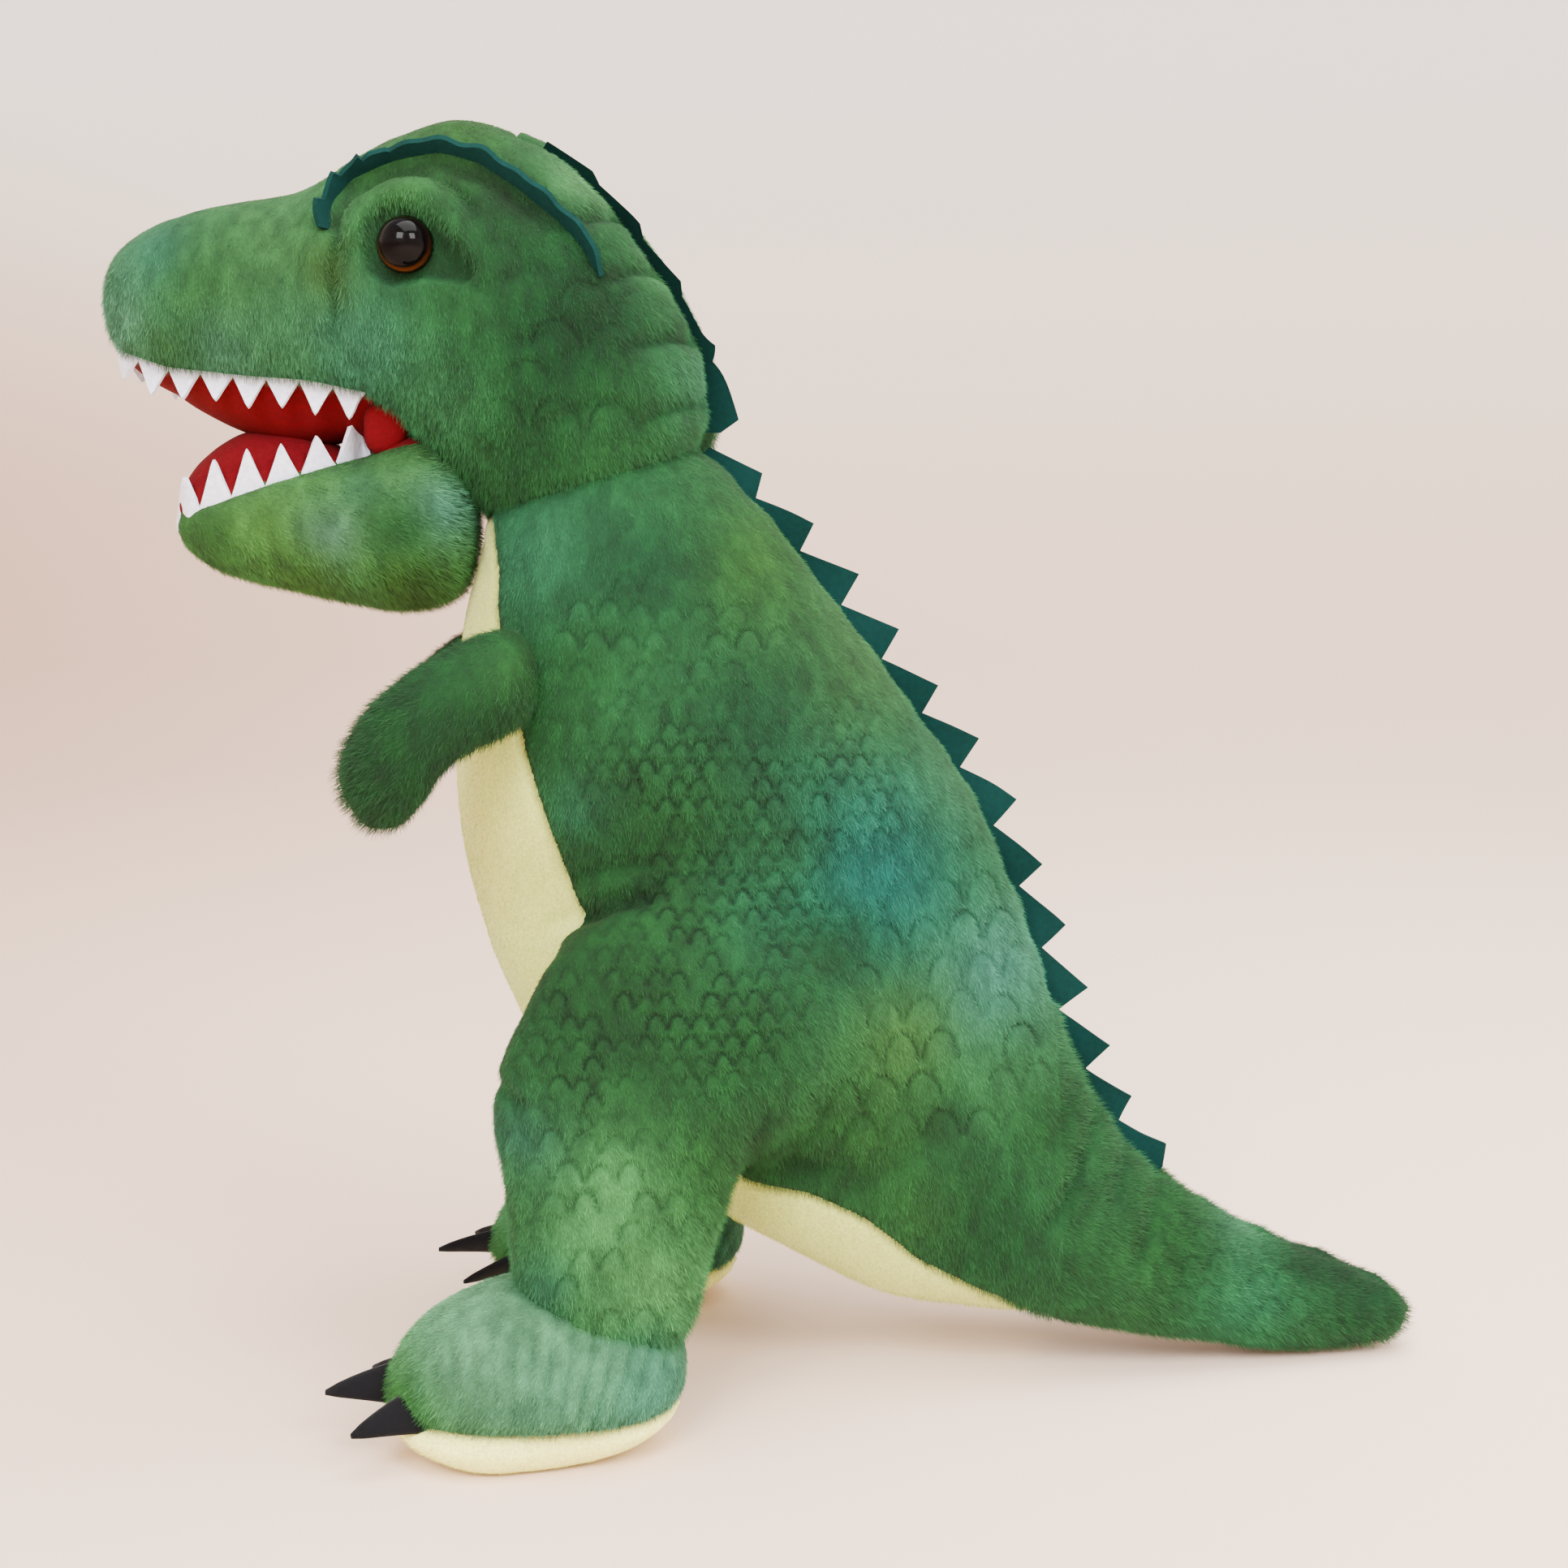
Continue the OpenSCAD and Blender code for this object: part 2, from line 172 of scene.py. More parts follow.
def stuffed(nodes, voxel, close, skin=SKIN, rounds=16):
    """One smooth form over filled CAD nodes: swollen until gaps close, then drawn back to the skin."""
    v, f = remesh(*cad_mesh(*nodes), voxel)
    v = smooth(v, f, 6, keep=False)
    v = v + normals(v, f) * (close + skin)
    v, f = remesh(v, f, voxel)
    v = smooth(v, f, rounds)
    v = v - normals(v, f) * close
    v, f = remesh(v, f, voxel)
    return smooth(v, f, rounds), f


def step(x, a, b):
    """0 below a, 1 above b and smooth between."""
    t = np.clip((x - a) / (b - a), 0, 1)
    return t * t * (3 - 2 * t)


def bump(d, width):
    return np.exp(-(d / width) ** 2)


def noise(p, size, seed):
    """Smooth value noise from -1 to 1."""
    table = np.random.default_rng(seed).random((16, 16, 16)) * 2 - 1
    q = p / size
    i = np.floor(q).astype(int)
    t = q - i
    t = t * t * (3 - 2 * t)
    out = 0
    for dx in (0, 1):
        for dy in (0, 1):
            for dz in (0, 1):
                w = ((t[:, 0] if dx else 1 - t[:, 0]) * (t[:, 1] if dy else 1 - t[:, 1])
                     * (t[:, 2] if dz else 1 - t[:, 2]))
                out = out + w * table[(i[:, 0] + dx) % 16, (i[:, 1] + dy) % 16, (i[:, 2] + dz) % 16]
    return out


def clouds(p, size, seed, octaves=3):
    return sum(noise(p + 37.0 * k, size / 2 ** k, seed + k) / 2 ** k for k in range(octaves)) / 1.5


def unit(rows):
    return rows / np.linalg.norm(rows, axis=1)[:, None]


def running(path):
    """The way along a line at each of its points."""
    return np.concatenate([[0], np.cumsum(np.linalg.norm(np.diff(path, axis=0), axis=1))])


def offsets(x, z, a, d):
    """From the nearest places on the line from a to a + d: the two offsets, and the share of the way."""
    t = np.clip(((x - a[0]) * d[0] + (z - a[1]) * d[1]) / (d @ d), 0, 1)
    return x - a[0] - t * d[0], z - a[1] - t * d[1], t


def near_line(x, z, path):
    """Distance in the XZ plane from a polyline, and the share of the way along it."""
    path = np.array(path, float)
    best, share = np.full(len(x), 1e9), np.zeros(len(x))
    run = running(path)
    for i, (a, b) in enumerate(zip(path[:-1], path[1:])):
        px, pz, t = offsets(x, z, a, b - a)
        dist = np.hypot(px, pz)
        share = np.where(dist < best, (run[i] + t * (run[i + 1] - run[i])) / run[-1], share)
        best = np.minimum(best, dist)
    return best, share


def side_of_line(x, z, path):
    """Signed distance to a polyline in the XZ plane whose ends run on; positive on its left."""
    path = np.array(path, float)
    first, last = path[0] - 40 * (path[1] - path[0]), path[-1] + 40 * (path[-1] - path[-2])
    path = np.vstack([first, path[1:-1], last]) if len(path) > 2 else np.vstack([first, last])
    best, side = np.full(len(x), 1e9), np.ones(len(x))
    for a, b in zip(path[:-1], path[1:]):
        d = b - a
        px, pz, _ = offsets(x, z, a, d)
        dist = np.hypot(px, pz)
        nearer = dist < best - 1e-9
        side = np.where(nearer, np.sign(d[0] * pz - d[1] * px), side)
        best = np.minimum(best, dist)
    return best * side


def ease(rows, rounds):
    """Evens out a row of values in place, with its ends held."""
    for _ in range(rounds):
        rows[1:-1] = (rows[:-2] + 2 * rows[1:-1] + rows[2:]) / 4
    return rows


def fold(form, path, width, depth, shade, mask, fade=(0, 0)):
    """Presses a fold along a path of the side view into form, which is (x, z, moves out, painted shade in
    the fold).
    It fades in over the first share of the path, and out over the last."""
    x, z, out, dark = form
    d, s = near_line(x, z, path)
    w = bump(d, width) * mask
    if fade[0]:
        w = w * step(s, 0, fade[0])
    if fade[1]:
        w = w * step(1 - s, 0, fade[1])
    out -= depth * w
    np.maximum(dark, shade * w, out=dark)


def sideways(n, low=0.3, high=0.7):
    """1 where the surface faces a side, 0 where it faces up, down, forward or back."""
    return step(np.abs(n[:, 1]), low, high)


def relax(g, f, rounds):
    """A field of the surface with its corners eased."""
    return smooth(g[:, None], f, rounds, keep=False)[:, 0]


def snap(v, f, g):
    """Moves the nearer end of every edge that g changes sign along onto g = 0, and says which moved."""
    e = edges_of(f)
    a, b = e[:, 0], e[:, 1]
    cross = g[a] * g[b] < 0
    a, b = a[cross], b[cross]
    near = np.where(np.abs(g[a]) < np.abs(g[b]), a, b)
    far = np.where(near == a, b, a)
    t = g[near] / (g[near] - g[far])
    order = np.argsort(-t)
    near, far, t = near[order], far[order], t[order]
    moved = v.copy()
    moved[near] = v[near] + (v[far] - v[near]) * t[:, None]
    g = g.copy()
    g[near] = 0
    return moved, g


def halve(v, f):
    """Brings the points nearest to the middle plane onto it, so that the two sides can part there."""
    v, flat = snap(v, f, v[:, 1])
    v[:, 1] = np.where(flat == 0, 0, v[:, 1])
    return v


def part_of(v, f, keep):
    """The faces that keep names, with only their own vertices, and where each came from."""
    f = f[keep]
    used = np.unique(f)
    index = np.full(len(v), -1)
    index[used] = np.arange(len(used))
    return v[used], index[f], used


def face_mean(g, f):
    return g[f].mean(1)


def as_object(name, v, f, materials):
    """A smooth shaded object in metres from arrays in millimetres."""
    obj = bpy.data.objects.new(name, raw_mesh(name, v * MM, f))
    bpy.context.scene.collection.objects.link(obj)
    for m in materials:
        obj.data.materials.append(m)
    obj.data.polygons.foreach_set("use_smooth", np.ones(len(f), bool))
    return obj


# ---------------------------------------------------------------- colour

GREEN = (70, 121, 72)
# Soft blotches of the airbrushed plush, some of the light ones also painted highlights of the pile's
# sheen: [x, z, radius, colour, strength], in millimetres
BODY_BLOTCHES = [
    (-60, 194, 20, (96, 156, 122), 0.7), (-34, 190, 18, (46, 98, 62), 0.85),
    (-10, 194, 14, (84, 122, 60), 0.8), (12, 171, 22, (102, 138, 82), 0.85),
    (-48, 165, 18, (62, 112, 60), 0.8), (-33, 160, 18, (78, 134, 86), 0.8),
    (-10, 158, 15, (44, 92, 56), 0.92), (-36, 133, 22, (58, 104, 56), 0.8),
    (-50, 140, 9, (88, 142, 110), 0.6), (34, 140, 12, (112, 146, 88), 0.7),
    (14, 124, 24, (62, 150, 138), 0.95), (-8, 132, 10, (78, 132, 84), 0.6),
    (-44, 101, 20, (52, 98, 50), 0.9), (2, 106, 14, (50, 104, 62), 0.8),
    (44, 98, 17, (128, 190, 164), 0.9), (104, 35, 8, (134, 174, 138), 0.8),
    (21, 86, 13, (138, 170, 98), 0.75), (44, 72, 14, (96, 146, 92), 0.8),
    (-14, 92, 16, (56, 108, 58), 0.8), (-42, 86, 20, (46, 90, 48), 0.8),
    (-62, 70, 9, (86, 142, 124), 0.7), (-44, 58, 20, (148, 200, 128), 0.85),
    (-20, 62, 14, (70, 116, 58), 0.7), (14, 64, 16, (88, 132, 70), 0.7),
    (-34, 38, 16, (156, 206, 130), 0.85), (-38, 20, 10, (82, 146, 112), 0.8),
    (-58, 40, 8, (84, 138, 108), 0.6), (40, 42, 17, (52, 102, 58), 0.9),
    (26, 44, 10, (96, 136, 76), 0.6), (66, 44, 12, (74, 124, 74), 0.7),
    (78, 24, 10, (98, 148, 92), 0.7), (90, 32, 15, (60, 112, 58), 0.8),
    (106, 16, 14, (94, 170, 120), 0.8), (124, 24, 7, (34, 74, 42), 0.95),
    (138, 17, 10, (34, 82, 46), 0.85), (151, 9, 8, (58, 106, 60), 0.7), (58, 62, 8, (54, 104, 56), 0.8)
]
# The light blotches on the snout and behind the nape strip are partly painted highlights, and the dark
# one on the cheek behind the eye is partly painted shade
HEAD_BLOTCHES = [
    (-152, 244, 15, (150, 188, 150), 0.9), (-140, 260, 9, (88, 148, 122), 0.7),
    (-127, 249, 13, (78, 118, 62), 0.9), (-116, 262, 13, (112, 152, 92), 0.8),
    (-126, 238, 11, (132, 172, 132), 0.9), (-143, 238, 7, (92, 132, 76), 0.6),
    (-110, 240, 11, (112, 154, 106), 0.8), (-93, 240, 15, (116, 168, 134), 0.9),
    (-103, 256, 7, (112, 128, 66), 0.7), (-88, 274, 9, (104, 150, 92), 0.9),
    (-64, 270, 13, (42, 84, 44), 0.95), (-50, 246, 24, (20, 74, 36), 0.95),
    (-74, 246, 14, (70, 122, 70), 0.7), (-60, 216, 14, (56, 108, 60), 0.8),
    (-80, 228, 12, (96, 146, 98), 0.8), (-48, 278, 9, (140, 178, 118), 0.9),
    (-30, 260, 9, (108, 154, 98), 0.9), (-25, 232, 9, (104, 158, 114), 0.9),
    (-36, 228, 10, (60, 112, 62), 0.8), (-76, 289, 13, (78, 122, 58), 0.9),
    (-96, 280, 8, (78, 122, 60), 0.6)
]
JAW_BLOTCHES = [
    (-133, 194, 9, (98, 140, 74), 0.9), (-119, 199, 10, (140, 172, 94), 0.8),
    (-105, 198, 7, (160, 188, 152), 0.9), (-97, 208, 6, (116, 160, 114), 0.8),
    (-79, 204, 9, (144, 188, 158), 0.9), (-88, 186, 8, (98, 124, 56), 0.9),
    (-90, 199, 7, (64, 108, 60), 0.85), (-112, 188, 8, (118, 146, 74), 0.8)
]
# The light blotch at the shoulder is a painted highlight
ARM_BLOTCHES = [
    (-80, 168, 12, (44, 94, 50), 0.7), (-92, 150, 12, (38, 84, 42), 0.8),
    (-64, 172, 8, (84, 132, 74), 0.7)
]
FOOT_BLOTCHES = [
    (-90, 12, 12, (84, 138, 66), 0.9), (-72, 30, 14, (176, 212, 164), 0.8),
    (-34, 16, 12, (124, 178, 148), 0.9), (-55, 20, 12, (152, 198, 156), 0.7)
]
YELLOW = (196, 210, 110)
SOLE = (246, 250, 146)
RED = (88, 0, 9)


def srgb(c):
    c = np.asarray(c, float) / 255
    return np.where(c <= 0.04045, c / 12.92, ((c + 0.055) / 1.055) ** 2.4)


def dyed(c, strength=1.18, tint=(0.235, 0.43, 0.44)):
    """Colours as the dye takes in a dense pile: deeper, and with less red."""
    grey = c @ np.array([0.2126, 0.7152, 0.0722])
    return np.maximum(grey[:, None] + (c - grey[:, None]) * strength, 0.003) * np.array(tint)


def airbrush_and_painted_light(v, base, blotches, seed, shift=0.0):
    """Linear colours of soft blotches whose edges wander: the airbrushed print, and among the blotches
    some painted highlights and painted shade.
    """
    wander = 3.2 * np.stack([clouds(v, 16, seed), clouds(v, 16, seed + 9)], 1)
    x, z = v[:, 0] - shift + wander[:, 0], v[:, 2] + wander[:, 1]
    paint = np.tile(np.array(base, float), (len(v), 1))
    for bx, bz, r, colour, strength in blotches:
        w = (strength * bump(np.hypot(x - bx, z - bz), r))[:, None]
        paint += (np.array(colour, float) - paint) * w
    tone = 1 + 0.10 * clouds(v, 11, seed + 3) + 0.21 * clouds(v * np.array([1, 1, 0.5]), 2.6, seed + 4)
    return dyed(srgb(np.clip(paint * tone[:, None], 0, 255)))


# ---------------------------------------------------------------- pressed scales


TILES = 64            # rows and columns of scales before their sizes repeat


def arches(x, z, width, height, seed, drop):
    """How deep each point lies in the outlines of staggered arches, 0 to 1, and how far inside one."""
    rng = np.random.default_rng(seed)
    keep, lift = rng.random((TILES, TILES)), rng.random((TILES, TILES))
    row = np.floor(z / height).astype(int)
    col = np.floor(x / width + 0.5 * (row % 2)).astype(int)
    cx = (x / width + 0.5 * (row % 2) - col - 0.5) * width
    cz = (z / height - row) * height
    here = keep[row % TILES, col % TILES] > drop
    lift = lift[row % TILES, col % TILES]
    a, b = 0.44 * width, (0.68 + 0.22 * lift) * height
    f = (cx / a) ** 2 + (cz / b) ** 2 - 1
    slope = 2 * np.sqrt((cx / a ** 2) ** 2 + (cz / b ** 2) ** 2) + 1e-6
    line = bump(f / slope, 0.5) * step(cz, 0.0, 0.22 * height) * here
    inside = np.clip(-f, 0, 1) * here
    return line * (0.6 + 0.4 * lift), inside


def emboss(v, n, layers, seed):
    """Pressed scales: how the points move out, and the painted shade in their pressed outlines.
    A layer is the scales' width and height, the share of them left out, and its place, 0 to 1."""
    x = v[:, 0] + 1.1 * clouds(v, 14, seed, 2)
    z = v[:, 2] + 1.1 * clouds(v, 18, seed + 5, 2)
    face = sideways(n, 0.35, 0.6)
    out, dark = np.zeros(len(v)), np.zeros(len(v))
    for k, (width, height, drop, place) in enumerate(layers):
        line, inside = arches(x + 3 * k, z, width, height, seed + 20 + k, drop)
        w = place * face
        out += w * (0.4 * inside * min(1, width / 6) - 0.8 * line)
        dark = np.maximum(dark, w * line)
    return out, dark


def zone(v, spots, seed):
    """Soft union of round areas, [x, z, radius], with an edge that wanders."""
    w = np.zeros(len(v))
    for x, z, r in spots:
        w = np.maximum(w, 1.4 * bump(np.hypot(v[:, 0] - x, v[:, 2] - z), 1.25 * r))
    return np.clip(w + 0.35 * clouds(v, 9, seed) - 0.35, 0, 1)


# ---------------------------------------------------------------- body form

FOOT_BACK = node_box("foot_upper_right")[0][0] - node_box("foot_upper_left")[0][0]
HIP_Z, ANKLE_Z = 88.0, 36.0
TAIL_CUT = 60.0
BELLY_LINE = [
    (-71, 215), (-70, 200), (-68.5, 192), (-69, 181), (-63, 154), (-61, 147), (-56, 131), (-53, 121),
    (-48, 105), (-38, 85), (-27, 68), (-18, 54), (-12, 50), (-5, 49.5), (2, 48.5), (13, 43), (27, 31),
    (40, 23), (52, 16), (62, 10)
]


def leg_shift(v):
    """How far back the right leg stands at each point's height."""
    share = np.clip((HIP_Z - v[:, 2]) / (HIP_Z - ANKLE_Z), 0, 1)
    return np.where(v[:, 1] > 0, FOOT_BACK * share, 0)


def belly_field(v):
    """Below 0 on the belly panel: in front of its seam and between the legs."""
    line = -side_of_line(v[:, 0], v[:, 2], BELLY_LINE[::-1])
    legs = np.abs(v[:, 1]) - 31 - 12 * step(v[:, 2], 104, 124)
    return np.maximum(line, legs)


def leg_share(v, belly):
    """A share for each point: 1 from mid thigh down, 0 at the hip and belly."""
    back = np.interp(v[:, 2], [36, 50, 66, 76, 90, 104], [-24, -19, -10, 3, 9, 5])
    x = v[:, 0] - leg_shift(v)
    w = step(102 - v[:, 2], 0, 40) * step(np.abs(v[:, 1]), 29, 38) * step(back + 9 - x, 0, 12)
    return w * step(belly, 0, 6)


def body_folds(v, n):
    """Creases of the body: how the points move out, and the shade painted into the folds and the back
    seam.
    """
    x, y, z = v[:, 0] - leg_shift(v), np.abs(v[:, 1]), v[:, 2]
    out, dark = np.zeros(len(v)), np.zeros(len(v))
    form = (x, z, out, dark)
    side = step(y, 20, 30)
    # A fold across the top of the thigh, with painted shade in it
    thigh = [(-66, 98), (-63, 104), (-58, 111), (-52, 115), (-43, 119), (-35, 121), (-31, 127)]
    fold(form, thigh, 2.0, 3.0, 0.7, side, (0.15, 0.2))
    below = -side_of_line(x, z, thigh)
    out += 2.0 * side * step(below, 0, 5) * bump(below - 5, 14) * bump(x + 45, 22) * (z < 125)
    # A second pleat above the first, that leaves a small loose fold between them; both get painted shade
    fold(form, [(-56, 121), (-47, 126), (-38, 128), (-31, 127)], 1.6, 1.2, 0.3, side, (0.3, 0.2))
    # Folds where the tail leaves the body, with painted shade in them
    folds = [([(74, 72), (71, 64), (66, 55), (60, 44), (52, 34)], 2.2, 2.5),
             ([(80, 58), (76, 50), (71, 40)], 1.8, 2.0),
             ([(66, 74), (60, 62), (52, 52)], 2.6, 0.8),
             ([(88, 50), (84, 42), (80, 34), (76, 26)], 2.0, 1.6),
             ([(-8, 60), (4, 56), (14, 58)], 2.4, 0.9),
             ([(-8, 80), (-12, 66), (-16, 52)], 3.0, 1.4),
             ([(2, 50), (16, 54), (30, 64), (38, 76)], 3.4, 0.8)]
    for path, width, depth in folds:
        fold(form, path, width, depth, 0.4 * min(1, depth), step(y, 4, 12), (0.25, 0.3))
    # The middle seam up the back pulls in between the spikes, with puckers either side, and painted shade
    # along it
    back = step(n[:, 0] + n[:, 2], 0.2, 0.7) * (z > 12)
    pucker = 0.5 + 0.5 * np.sin((x * 0.62 - z * 0.8) / 13.7 * 6.283)
    out -= back * bump(y, 2.2) * 2.2
    out -= back * bump(y - 5, 4) * 0.8 * pucker
    np.maximum(dark, 0.7 * back * bump(y, 1.4), out=dark)
    # The slack of a soft filling, and a tuck at the front of the knee
    out += 0.9 * clouds(v, 30, 40) + 0.28 * clouds(v, 8, 41)
    fold(form, [(-70, 83), (-64, 79), (-58, 78)], 1.8, 1.4, 0, side, (0, 0.4))
    return out, dark


# Where the scales of each size are: [x, z, radius]
SMALL_SCALES = [(-30, 150, 20), (-12, 140, 20), (8, 142, 20), (-22, 120, 20), (-6, 118, 20),
                (-34, 100, 18), (-20, 96, 18), (-48, 92, 16)]
LARGE_SCALES = [(22, 106, 16), (40, 112, 14), (48, 88, 16), (22, 84, 16), (34, 70, 16), (10, 70, 12)]
MEDIUM_SCALES = [(-46, 60, 18), (-30, 60, 16), (-46, 42, 15), (-34, 32, 14), (-40, 176, 14),
                 (-18, 176, 14), (94, 28, 12), (112, 20, 12), (134, 14, 12), (-54, 76, 12), (26, 128, 12)]
HEAD_SCALES = [(-52, 244, 18), (-60, 222, 14), (-44, 226, 12), (-80, 236, 8)]


def body_layers(v):
    small, large, medium = zone(v, SMALL_SCALES, 6), zone(v, LARGE_SCALES, 7), zone(v, MEDIUM_SCALES, 8)
    small = small * (1 - 0.8 * large)
    medium = medium * (1 - small) * (1 - large)
    return [(4.7, 4.1, 0.16, small), (6.6, 6.2, 0.22, 0.85 * medium), (9.4, 8.8, 0.18, large)]


def make_body():
    """The stuffed body with its legs and tail as one surface, with its seams, folds and scales."""
    filling = ["body_stuffing", "leg_stuffing_left", "leg_stuffing_right", "tail_stuffing"]
    v, f = stuffed(filling, BODY_VOXEL, close=6)
    x, y, z = v[:, 0] - leg_shift(v), np.abs(v[:, 1]), v[:, 2]
    # The haunch and the front of the thigh run smoothly into the flank
    haunch = step(y, 24, 32) * step(x, -48, -20) * (1 - step(x, 26, 42))
    haunch = haunch * step(z, 52, 66) * (1 - step(z, 122, 140))
    front = step(y, 28, 34) * (1 - step(x, -30, -10)) * step(z, 86, 96) * (1 - step(z, 118, 134))
    for _ in range(60):
        relaxed = smooth(v, f, 1, keep=False)
        v = v + (relaxed - v) * np.maximum(haunch, 0.35 * front)[:, None]
    v, f = subdivide(v, f, 2)
    n = normals(v, f)
    belly = relax(belly_field(v), f, 40)
    out, dark = body_folds(v, n)
    plush = step(belly, 0, 1.5)
    seam = bump(belly, 1.3)
    out, dark = out * (0.35 + 0.65 * plush) - 1.3 * seam, dark * plush
    out += 1.4 * step(-belly, 0, 12)
    out -= 2.0 * bump(np.hypot(v[:, 0] + 73, v[:, 2] - 194), 12) * step(-belly, 0, 4)
    press, line = emboss(v, n, body_layers(v), 3)
    out += press * plush
    v = v + n * out[:, None]
    v, belly = snap(v, f, belly)
    v = halve(v, f)
    v, _ = snap(v, f, v[:, 0] - TAIL_CUT)
    # Painted shade along the green side of the belly seam
    dark = np.maximum(dark, 0.75 * bump(belly, 0.9) * (belly >= 0))
    return v, f, belly, dark, line * plush


# ---------------------------------------------------------------- head, jaw, limbs

EYE = (np.array(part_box("eye_left")[0]) + np.array(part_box("eye_left")[1])) / 2 / MM
UPPER_LIP = [
    (-166, 247), (-155, 241), (-151, 239), (-141, 235.6), (-123, 233.5), (-109, 232.5), (-97, 230),
    (-91, 225), (-84, 216), (-74, 205)
]
LOWER_LIP = [
    (-150, 201.5), (-142, 203), (-138, 204.2), (-130, 207), (-118, 211), (-104, 215), (-94, 217.5),
    (-82, 220)
]


def head_folds(v, n):
    """Creases of the head: how the points move out, and the shade painted into the folds, the socket and
    the seams.
    """
    x, y, z = v[:, 0], np.abs(v[:, 1]), v[:, 2]
    out, dark = np.zeros(len(v)), np.zeros(len(v))
    form = (x, z, out, dark)
    ex, ez = EYE[0], EYE[2]
    side = step(y, 12, 20)
    angle, r = np.arctan2(z - ez, x - ex), np.hypot(x - ex, z - ez)
    # Almond socket: round the eye and drawn out to a corner behind it, darkened with painted shade in the
    # hollow, which also stands for the airbrushed dark patch there
    d, s = near_line(x, z, [(ex - 1, ez), (ex + 5, ez - 1.5), (ex + 12, ez - 5)])
    almond = 1 - step(d - 7.5 * (1 - 0.75 * s), 0, 2.2)
    out -= 2.4 * almond * side
    np.maximum(dark, 0.62 * almond * side, out=dark)
    # A raised lid round the eye, and a crease above it with painted shade
    lid = bump(r - 11.5, 3.2) * step(angle, -0.45, 0.2) * step(3.3 - angle, 0, 0.5)
    out += 2.3 * lid * side
    lid_crease = bump(r - 16.2, 1.4) * step(angle, 0.1, 0.6) * step(2.9 - angle, 0, 0.5)
    out -= 1.6 * lid_crease * side
    np.maximum(dark, 0.5 * lid_crease * side, out=dark)
    # Under the felt brow, with painted shade where the brow overhangs it
    brow = [(-103, 267), (-99, 274), (-90, 278.5), (-80, 279.5), (-69, 276), (-60, 270), (-50, 262)]
    fold(form, brow, 2.6, 1.6, 0.7, side, (0, 0.2))
    # Dart in front of the eye, with painted shade in it
    dart = [(-101, 266), (-102.5, 256), (-102.5, 244), (-104, 236)]
    fold(form, dart, 1.5, 1.9, 0.5, side, (0, 0.6))
    d, s = near_line(x, z, dart)
    out += 0.8 * bump(d - 5, 3) * side * step(1 - s, 0, 0.5)
    # Cheek folds behind the mouth, and pleats in from the nape seam, all with painted shade: path, width,
    # depth
    folds = [([(-70, 252), (-58, 256), (-48, 252)], 1.6, 0.5),
             ([(-64, 240), (-50, 243)], 1.6, 0.6),
             ([(-58, 222), (-46, 228), (-38, 226)], 1.8, 0.9),
             ([(-36, 272), (-45, 269), (-53, 265)], 1.9, 2.2),
             ([(-28, 259), (-37, 257.5), (-46, 253)], 1.9, 2.2),
             ([(-22, 243), (-31.5, 242), (-40, 239)], 1.9, 2.2),
             ([(-20, 229), (-29, 227), (-37, 223)], 1.9, 2.0)]
    for path, width, depth in folds:
        d, s = near_line(x, z, path)
        w = bump(d, width) * step(y, 4, 10) * (0.3 + 0.7 * step(1 - s, 0, 0.5))
        out -= depth * w
        np.maximum(dark, 0.3 * w * min(depth, 1.6), out=dark)
    # The nape seam pulls in with painted shade along it, and so does the seam down the front of the snout
    nape = step(n[:, 0] + 0.7 * n[:, 2], 0.2, 0.7) * (x > -64)
    wave = 0.5 + 0.5 * np.sin(z / 15.5 * 6.283 + 1.0)
    out -= nape * (bump(y, 2.4) * 3.0 + bump(y - 6, 5) * 1.8 * wave)
    out += nape * (3.6 * bump(v[:, 1] - 15, 12) - 1.0 * bump(v[:, 1] + 6, 8))
    np.maximum(dark, nape * 0.75 * bump(y, 1.8), out=dark)
    front = bump(y, 1.6) * (x < -100) * (z > 245)
    out -= 0.8 * front
    np.maximum(dark, 0.25 * front, out=dark)
    out += 0.6 * clouds(v, 24, 50) + 0.22 * clouds(v, 7, 51)
    return out, dark


def head_layers(v):
    return [(12.0, 8.5, 0.35, 0.75 * zone(v, HEAD_SCALES, 9))]


def palate_side(v):
    """Above 0 under the upper lip."""
    return -side_of_line(v[:, 0], v[:, 2], UPPER_LIP)


def lining_side(v):
    """Above 0 over the lower lip."""
    return side_of_line(v[:, 0], v[:, 2], LOWER_LIP)


def make_head():
    """The stuffed head as one surface, with its socket, seams and scales, and the palate below it."""
    v, f = stuffed(["head_stuffing"], 2.6, close=0)
    v, f = subdivide(v, f, 2)
    n = normals(v, f)
    g = palate_side(v)
    out, dark = head_folds(v, n)
    plush = step(-g, 0, 1.5)
    press, line = emboss(v, n, head_layers(v), 13)
    out = out * plush + press * plush - 0.9 * bump(g, 1.2)
    v = v + n * out[:, None]
    v[:, 2] -= 9.0 * step(g, 0.5, 5) * bump(v[:, 0] + 113, 32) * (n[:, 2] < 0.3)
    v, g = snap(v, f, palate_side(v))
    v = halve(v, f)
    # Painted shade in the folds, and along the lip where the skin turns into the mouth
    dark = np.maximum(dark * plush, 0.5 * bump(g, 1.0) * (g <= 0))
    return v, f, g, dark, line * plush


